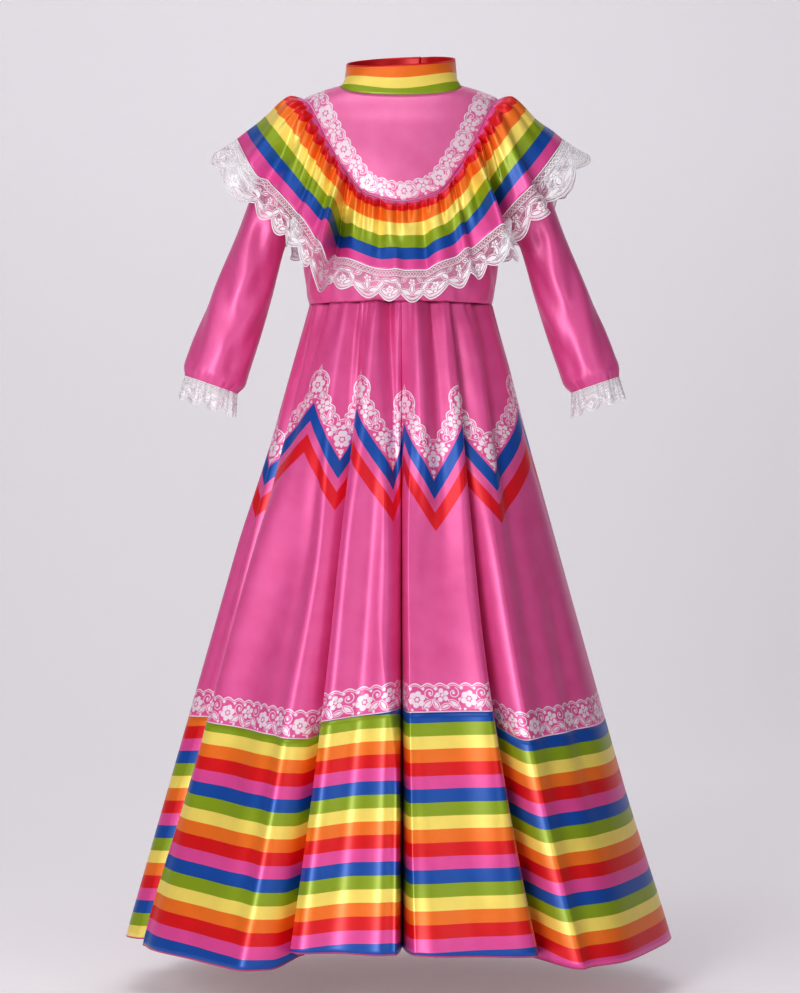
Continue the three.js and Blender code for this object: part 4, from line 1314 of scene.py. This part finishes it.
# The corners of the zigzag, a low one first: folds counted round from the first valley, and heights
zigzag_around = [-0.22, 0.541, 0.86, 1.21, 1.76, 2.065, 2.464, 2.9, 3.25, 3.647, 4.04, 4.43]
zigzag_around += [4.83, 5.22, 5.63, 6.02, 6.40, 6.80, 7.20, 7.59, 8.0, 8.38, 8.78, 9.541]
zigzag_z = [-441, -366, -431, -373, -444, -390, -454, -384, -445, -370, -446, -372]
zigzag_z += [-447, -375, -444, -371, -448, -374, -445, -373, -447, -376, -441, -366]
zigzag_around = np.round(np.array(zigzag_around) * SKIRT_GRID["fold"]) / SKIRT_GRID["fold"]
zigzag_z = np.array(zigzag_z, float)
ZIGZAG_BLUE = (-20.5, 0)
ZIGZAG_RED = (-57, -36)

RUN_TABLE = {"first": -1, "last": 10, "foot": -740, "rows": 18}
run_folds = RUN_TABLE["last"] - RUN_TABLE["first"]
run_around = np.linspace(RUN_TABLE["first"], RUN_TABLE["last"], run_folds * SKIRT_GRID["fold"] + 1)
run_z = np.linspace(WAIST_Z, RUN_TABLE["foot"], RUN_TABLE["rows"])
run_table = run(grid_of(skirt_point, run_around, run_z), 0)


def cloth_run(around, z):
    """How far along the skirt's cloth a place is, going round at its own height."""
    i = (around - run_around[0]) / (run_around[1] - run_around[0])
    j = np.clip((z - run_z[0]) / (run_z[1] - run_z[0]), 0, len(run_z) - 1.001)
    i0 = np.clip(np.floor(i).astype(int), 0, len(run_around) - 2)
    j0 = np.floor(j).astype(int)
    upper = mix(run_table[i0, j0], run_table[i0 + 1, j0], i - i0)
    lower = mix(run_table[i0, j0 + 1], run_table[i0 + 1, j0 + 1], i - i0)
    return mix(upper, lower, j - j0)


def add_zigzag_maps(piece, made, arounds, points):
    """Maps each slope of the zigzag on the cloth: from its upper corner, its lower corner and its line."""
    left = made["column"].reshape(-1, 4).min(axis=1)
    middle = (arounds[left] + arounds[left + 1]) / 2
    slope = np.repeat(np.searchsorted(zigzag_around, middle) - 1, 4)
    peak = np.where(slope % 2 == 0, slope + 1, slope)
    foot = np.where(slope % 2 == 0, slope, slope + 1)
    around = arounds[made["column"]]
    z = points[made["column"], made["row"], 2]
    place = cloth_run(around, z)
    peak_place = cloth_run(zigzag_around[peak], z)
    foot_place = cloth_run(zigzag_around[foot], z)
    wide = np.abs(foot_place - peak_place)
    high = (zigzag_z[peak] - zigzag_z[foot]) * SKIRT_SLOPE
    long = np.hypot(wide, high)
    from_peak = place - peak_place, (z - zigzag_z[peak]) * SKIRT_SLOPE
    from_foot = place - foot_place, (z - zigzag_z[foot]) * SKIRT_SLOPE
    above = from_peak[1] + np.abs(from_peak[0]) * high / wide
    down = (np.abs(from_peak[0]) * wide - from_peak[1] * high) / long
    maps = {
        "peak": from_peak,
        "foot": from_foot,
        "slope": (down, above * wide / long),
        "band": (above, high),
    }
    for name, pair in maps.items():
        made_map = piece.data.uv_layers.new(name=name)
        made_map.data.foreach_set("uv", (np.stack(pair, -1) * MM).ravel())


ZIGZAG_STRIP = {"deep": 19.5, "scallop": (2.8, 13), "repeat": 38, "beyond": 9, "stem_at": 8.5, "swing": 5}
ZIGZAG_EDGE = {"line": 0.7, "inner": 2.9, "inner_line": 0.33, "margin": 1.3, "above_blue": 1.0}
ZIGZAG_PEAK = {"above": 22, "round": 17, "clear": 12.4}
ZIGZAG_FOOT = {"above": 33, "round": 15.5, "flower": 25, "clear": 12.2}
SLOPE_MOTIFS = [
    (blossom, (11, 10.5), 8.8, 5, 0.1),
    (leaf, (23.5, 6.0), 6.2, 3.1, 22),
    (leaf, (25.5, 14.2), 6.2, 2.9, 150),
    (curl, (33.5, 11), 5.2, 0.3),
    (dot, (18.0, 17.0), 1.7),
    (dot, (2.5, 16.6), 1.8),
    (dot, (2.2, 4.5), 1.8),
    (dot, (30.5, 4.0), 1.6),
    (dot, (30.0, 18.0), 1.5),
]
PEAK_MOTIFS = [
    (blossom, (0, 21), 11.2, 6, 0.25),
    (leaf, (10.5, 8.6), 6.6, 3.2, -58),
    (curl, (11.4, 31.0), 4.0, 0.2),
    (leaf, (0, 34.2), 3.6, 2.2, 90),
    (dot, (0, 7.5), 2.1),
    (dot, (14.4, 20.5), 1.5),
]
FOOT_MOTIFS = [
    (blossom, (0, 24.5), 10.8, 6, 0.25),
    (dot, (0, 10.2), 2.9),
    (dot, (0, 4.8), 1.5),
    (dot, (0, 38.5), 2.7),
    (dot, (5.2, 42.0), 2.0),
    (leaf, (10.5, 36.5), 6.2, 2.8, 55),
]
FINIAL_MOTIFS = [(leaf, (0, 40.0), 3.2, 1.8, 90), (dot, (0, 44.4), 0.7)]


def zigzag_group():
    """The lace printed over the zigzag: 1 where it is white, from its three maps."""
    entries = ("Peak X", "Peak Y", "Foot X", "Foot Y", "Slope X", "Slope Y")
    tree, places = start_group("printed lace over the zigzag", entries, "White")
    peak_x, peak_y, foot_x, foot_y, slope_x, slope_y = places
    peak_x, foot_x = abs(peak_x), abs(foot_x)
    strip = slope_y - scalloped(slope_x, *ZIGZAG_STRIP["scallop"]) - ZIGZAG_STRIP["deep"]
    strip = strip.both(-slope_x - ZIGZAG_STRIP["beyond"])
    peak_round = dot(peak_x, peak_y, (0, ZIGZAG_PEAK["above"]), ZIGZAG_PEAK["round"])
    foot_round = dot(foot_x, foot_y, (0, ZIGZAG_FOOT["above"]), ZIGZAG_FOOT["round"])
    region = together([strip, peak_round, foot_round])
    slopes = motifs_at(repeated(slope_x, ZIGZAG_STRIP["repeat"]), slope_y, SLOPE_MOTIFS)
    swing = (slope_x * (math.tau / ZIGZAG_STRIP["repeat"])).sin() * ZIGZAG_STRIP["swing"]
    slopes = slopes.either(abs(slope_y - swing - ZIGZAG_STRIP["stem_at"]) - LINE["curl"])
    off_peak = -dot(peak_x, peak_y, (0, ZIGZAG_PEAK["above"]), ZIGZAG_PEAK["clear"])
    off_foot = -dot(foot_x, foot_y, (0, ZIGZAG_FOOT["flower"]), ZIGZAG_FOOT["clear"])
    slopes = slopes.both(off_peak).both(off_foot)
    peaks = motifs_at(peak_x, peak_y, PEAK_MOTIFS)
    feet = motifs_at(foot_x, foot_y, FOOT_MOTIFS)
    finial = motifs_at(peak_x, peak_y, FINIAL_MOTIFS)
    edge = ZIGZAG_EDGE
    inner = together([slopes, peaks, feet]).both(region + edge["margin"])
    outline = abs(region + edge["line"]) - edge["line"]
    outline = outline.either(abs(region + edge["inner"]) - edge["inner_line"])
    white = together([inner, outline, finial]).both(-slope_y + edge["above_blue"]).filled()
    return end_group(tree, white)


TIER_BORDER = {
    "repeat": 58,
    "top": 28.5,
    "scallop": (3.2, 14.5),
    "motifs": [
        (blossom, (9.5, 14.5), 9.8, 6, 0.2),
        (blossom, (38, 18.5), 8.2, 5, 0.1),
        (curl, (24, 21), 6.2, 0.3),
        (curl, (51, 21), 6.2, 0.8),
        (leaf, (21, 9), 7.8, 3.5, 38),
        (leaf, (31, 8.5), 7.2, 3.2, 118),
        (leaf, (41, 6.5), 6.8, 3.0, 20),
        (leaf, (51, 9), 7.8, 3.5, -38),
        (dot, (31, 26), 2.0),
        (dot, (2, 26.5), 2.0),
        (dot, (16.5, 26), 1.6),
        (dot, (45.5, 27), 1.6),
        (dot, (57, 14), 1.6),
        (dot, (30, 17.5), 1.4),
        (dot, (20.5, 2.8), 1.5),
        (dot, (4, 3.2), 1.5),
        (dot, (35, 3.0), 1.4),
        (dot, (56.5, 3.5), 1.4),
    ],
}
tier_border = border_group("printed lace border of the skirt", TIER_BORDER)
zigzag_lace = zigzag_group()
ZIGZAG_RED_DYE = (0.74, 0.012, 0.03, 1)


def within(value, band):
    """1 where a number lies in a band, and 0 elsewhere."""
    low, high = band
    return (abs(value - (low + high) / 2) - (high - low) / 2).filled()


def gore_colour(tree, slub):
    colour = pink_colour(tree, slub)
    above, high = map_fields(tree, "band")
    colour = blend_colour(tree, within(above, ZIGZAG_BLUE), colour, BLUE)
    colour = blend_colour(tree, within(above, ZIGZAG_RED), colour, ZIGZAG_RED_DYE)
    places = [place for name in ("peak", "foot", "slope") for place in map_fields(tree, name)]
    white = print_with(zigzag_lace, *places).both(print_with(tier_border, *map_fields(tree, "border")))
    return blend_colour(tree, white, colour, LACE_PRINT)


JUST_INSIDE = 1e-6


def gore_columns(first, folds):
    """The places round a gore, and the same held just inside its two seams."""
    arounds = np.linspace(first, first + folds, folds * SKIRT_GRID["fold"] + 1)
    return arounds, np.clip(arounds, first + JUST_INSIDE, first + folds - JUST_INSIDE)


gore_satin = satin("pink satin with printed zigzag and lace", gore_colour)
for name, first, folds in gores:
    arounds, inside = gore_columns(first, folds)
    points = grid_of(skirt_cloth, inside, SKIRT_ROWS)
    down = (WAIST_Z - points[..., 2]) * SKIRT_SLOPE
    piece, made = cut_piece("skirt_" + name + "_cloth", points, down=down)
    height = (points[..., 2] - tier_seam_z(inside)[:, None]) * SKIRT_SLOPE
    along = cloth_run(inside, tier_seam_z(inside))
    add_map(piece, made, "border", along[:, None], height)
    add_zigzag_maps(piece, made, arounds, points)
    piece.data.materials.append(gore_satin)
    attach(piece, "root")
    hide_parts("skirt_" + name)
    flat = (0.2 * folds, 0.49)


# Hem tier
# A deep band of the striped satin below each gore, cut straight with the stripes running round,
# sewn to the skirt and finished at the hem with a close overlocked edge.
TIER_STRIPE = 14.4
TIER_ROWS = 40
tier_phases = {
    "around": [0.1, 0.9, 1.15, 1.6, 1.95, 2.05, 2.9, 3.1, 3.9, 4.1, 5.9, 6.1, 7.9, 8.1, 8.95],
    "first": [1.35, 1.4, 1.02, 0.95, 0.55, 0.24, 0.3, 0.22, 0.15, 2.2, 2.35, 5.1, 5.3, 3.3, 3.32],
}
HEM_THREAD = {"deep": 1.6, "colour": (0.62, 0.10, 0.26, 1)}


def tier_colour(tree, slub):
    x, y = map_fields(tree, "cloth")
    colours = stripes(tree, y / -TIER_STRIPE, [BLUE, GREEN, YELLOW, ORANGE, RED, STRIPE_PINK])
    to_hem, depth = map_fields(tree, "hem")
    thread = (to_hem - HEM_THREAD["deep"]).filled(0.3)
    return shaded(tree, slub, blend_colour(tree, thread, colours, HEM_THREAD["colour"]))


tier_satin = satin("striped satin of the tier", tier_colour)
for name, first, folds in gores:
    arounds, inside = gore_columns(first, folds)
    points = grid_of(tier_cloth, inside, np.linspace(0, 1, TIER_ROWS + 1))
    phase = read(tier_phases, "around", "first", inside)[:, None] * TIER_STRIPE
    down = (tier_seam_z(inside)[:, None] - points[..., 2]) * SKIRT_SLOPE + phase
    piece, made = cut_piece("tier_" + name + "_cloth", points, down=down)
    add_map(piece, made, "hem", (points[..., 2] - hem_z(inside)[:, None]) * SKIRT_SLOPE, 0)
    piece.data.materials.append(tier_satin)
    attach(piece, "root")
    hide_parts("tier_" + name)
    flat = (tier_cut[name], 0.26)


# Floor, backdrop, light and camera
# A sweep of pale paper runs under and behind the dress. Soft lights stand round it, and the camera
# looks at it level from the front.
FLOOR_Z = -1.03
SWEEP = {"front": -4.4, "back": 3.9, "high": 3.4, "round": 1.5, "half": 5.5}
bm = bmesh.new()
bmesh.ops.create_grid(bm, x_segments=1, y_segments=60, size=0.5)
sweep_mesh = bpy.data.meshes.new("sweep")
for v in bm.verts:
    t = v.co.y + 0.5
    flat_run = SWEEP["back"] - SWEEP["round"] - SWEEP["front"]
    arc = SWEEP["round"] * math.pi / 2
    far = t * (flat_run + arc + SWEEP["high"])
    v.co.x *= 2 * SWEEP["half"]
    if far <= flat_run:
        v.co.y, v.co.z = SWEEP["front"] + far, FLOOR_Z
    elif far <= flat_run + arc:
        turned = (far - flat_run) / SWEEP["round"]
        v.co.y = SWEEP["back"] - SWEEP["round"] + SWEEP["round"] * math.sin(turned)
        v.co.z = FLOOR_Z + SWEEP["round"] * (1 - math.cos(turned))
    else:
        v.co.y = SWEEP["back"]
        v.co.z = FLOOR_Z + SWEEP["round"] + far - flat_run - arc
bm.to_mesh(sweep_mesh)
bm.free()
sweep = place_mesh("backdrop", sweep_mesh)
paper, tree, shader = new_material("backdrop paper")
settle(
    shader,
    Base_Color=(0.86, 0.84, 0.87, 1),
    Roughness=0.9,
    Emission_Color=(0.90, 0.86, 0.90, 1),
    Emission_Strength=0.17,
)
sweep.data.materials.append(paper)


def softbox(name, place, aim, size, power):
    light = bpy.data.lights.new(name, "AREA")
    light.shape = "RECTANGLE"
    light.size, light.size_y = size
    light.energy = power
    lamp = bpy.data.objects.new(name, light)
    bpy.context.collection.objects.link(lamp)
    lamp.location = place
    lamp.rotation_euler = (Vector(aim) - Vector(place)).to_track_quat("-Z", "Y").to_euler()


softbox("key light", (-1.1, -2.8, 0.2), (0, 0, -0.5), (0.8, 1.2), 21.5)
softbox("left light", (-2.3, -1.7, 0.5), (0, 0, -0.5), (0.7, 1.4), 3.5)
softbox("right light", (1.7, -2.5, 0.0), (0, 0, -0.6), (0.7, 1.4), 6)
softbox("top light", (-0.3, -0.9, 2.1), (0, 0, -0.5), (1.8, 1.2), 15)
softbox("low light", (-0.9, -2.6, -0.78), (0, 0, -0.9), (1.3, 0.3), 10)
softbox("backdrop light", (-0.3, 2.0, 2.3), (-0.1, 3.9, 0.3), (4.0, 0.8), 10)
softbox("floor light", (0, 1.6, 1.8), (0, 1.4, -1.0), (3.0, 1.0), 5)
world = bpy.data.worlds.new("studio")
bpy.context.scene.world = world
world.use_nodes = True
settle(world.node_tree.nodes["Background"], Color=(0.93, 0.92, 0.95, 1), Strength=0.13)
bpy.context.scene.view_settings.view_transform = "Standard"
bpy.context.scene.view_settings.look = "High Contrast"

CAMERA = {"place": (-0.0011, -3.0, -0.4708), "lens": 63.1, "sensor": 24}
lens = bpy.data.cameras.new("camera")
lens.sensor_fit = "VERTICAL"
lens.sensor_height = CAMERA["sensor"]
lens.lens = CAMERA["lens"]
camera = bpy.data.objects.new("camera", lens)
bpy.context.collection.objects.link(camera)
camera.location = CAMERA["place"]
camera.rotation_euler = (math.pi / 2, 0, 0)
bpy.context.scene.camera = camera
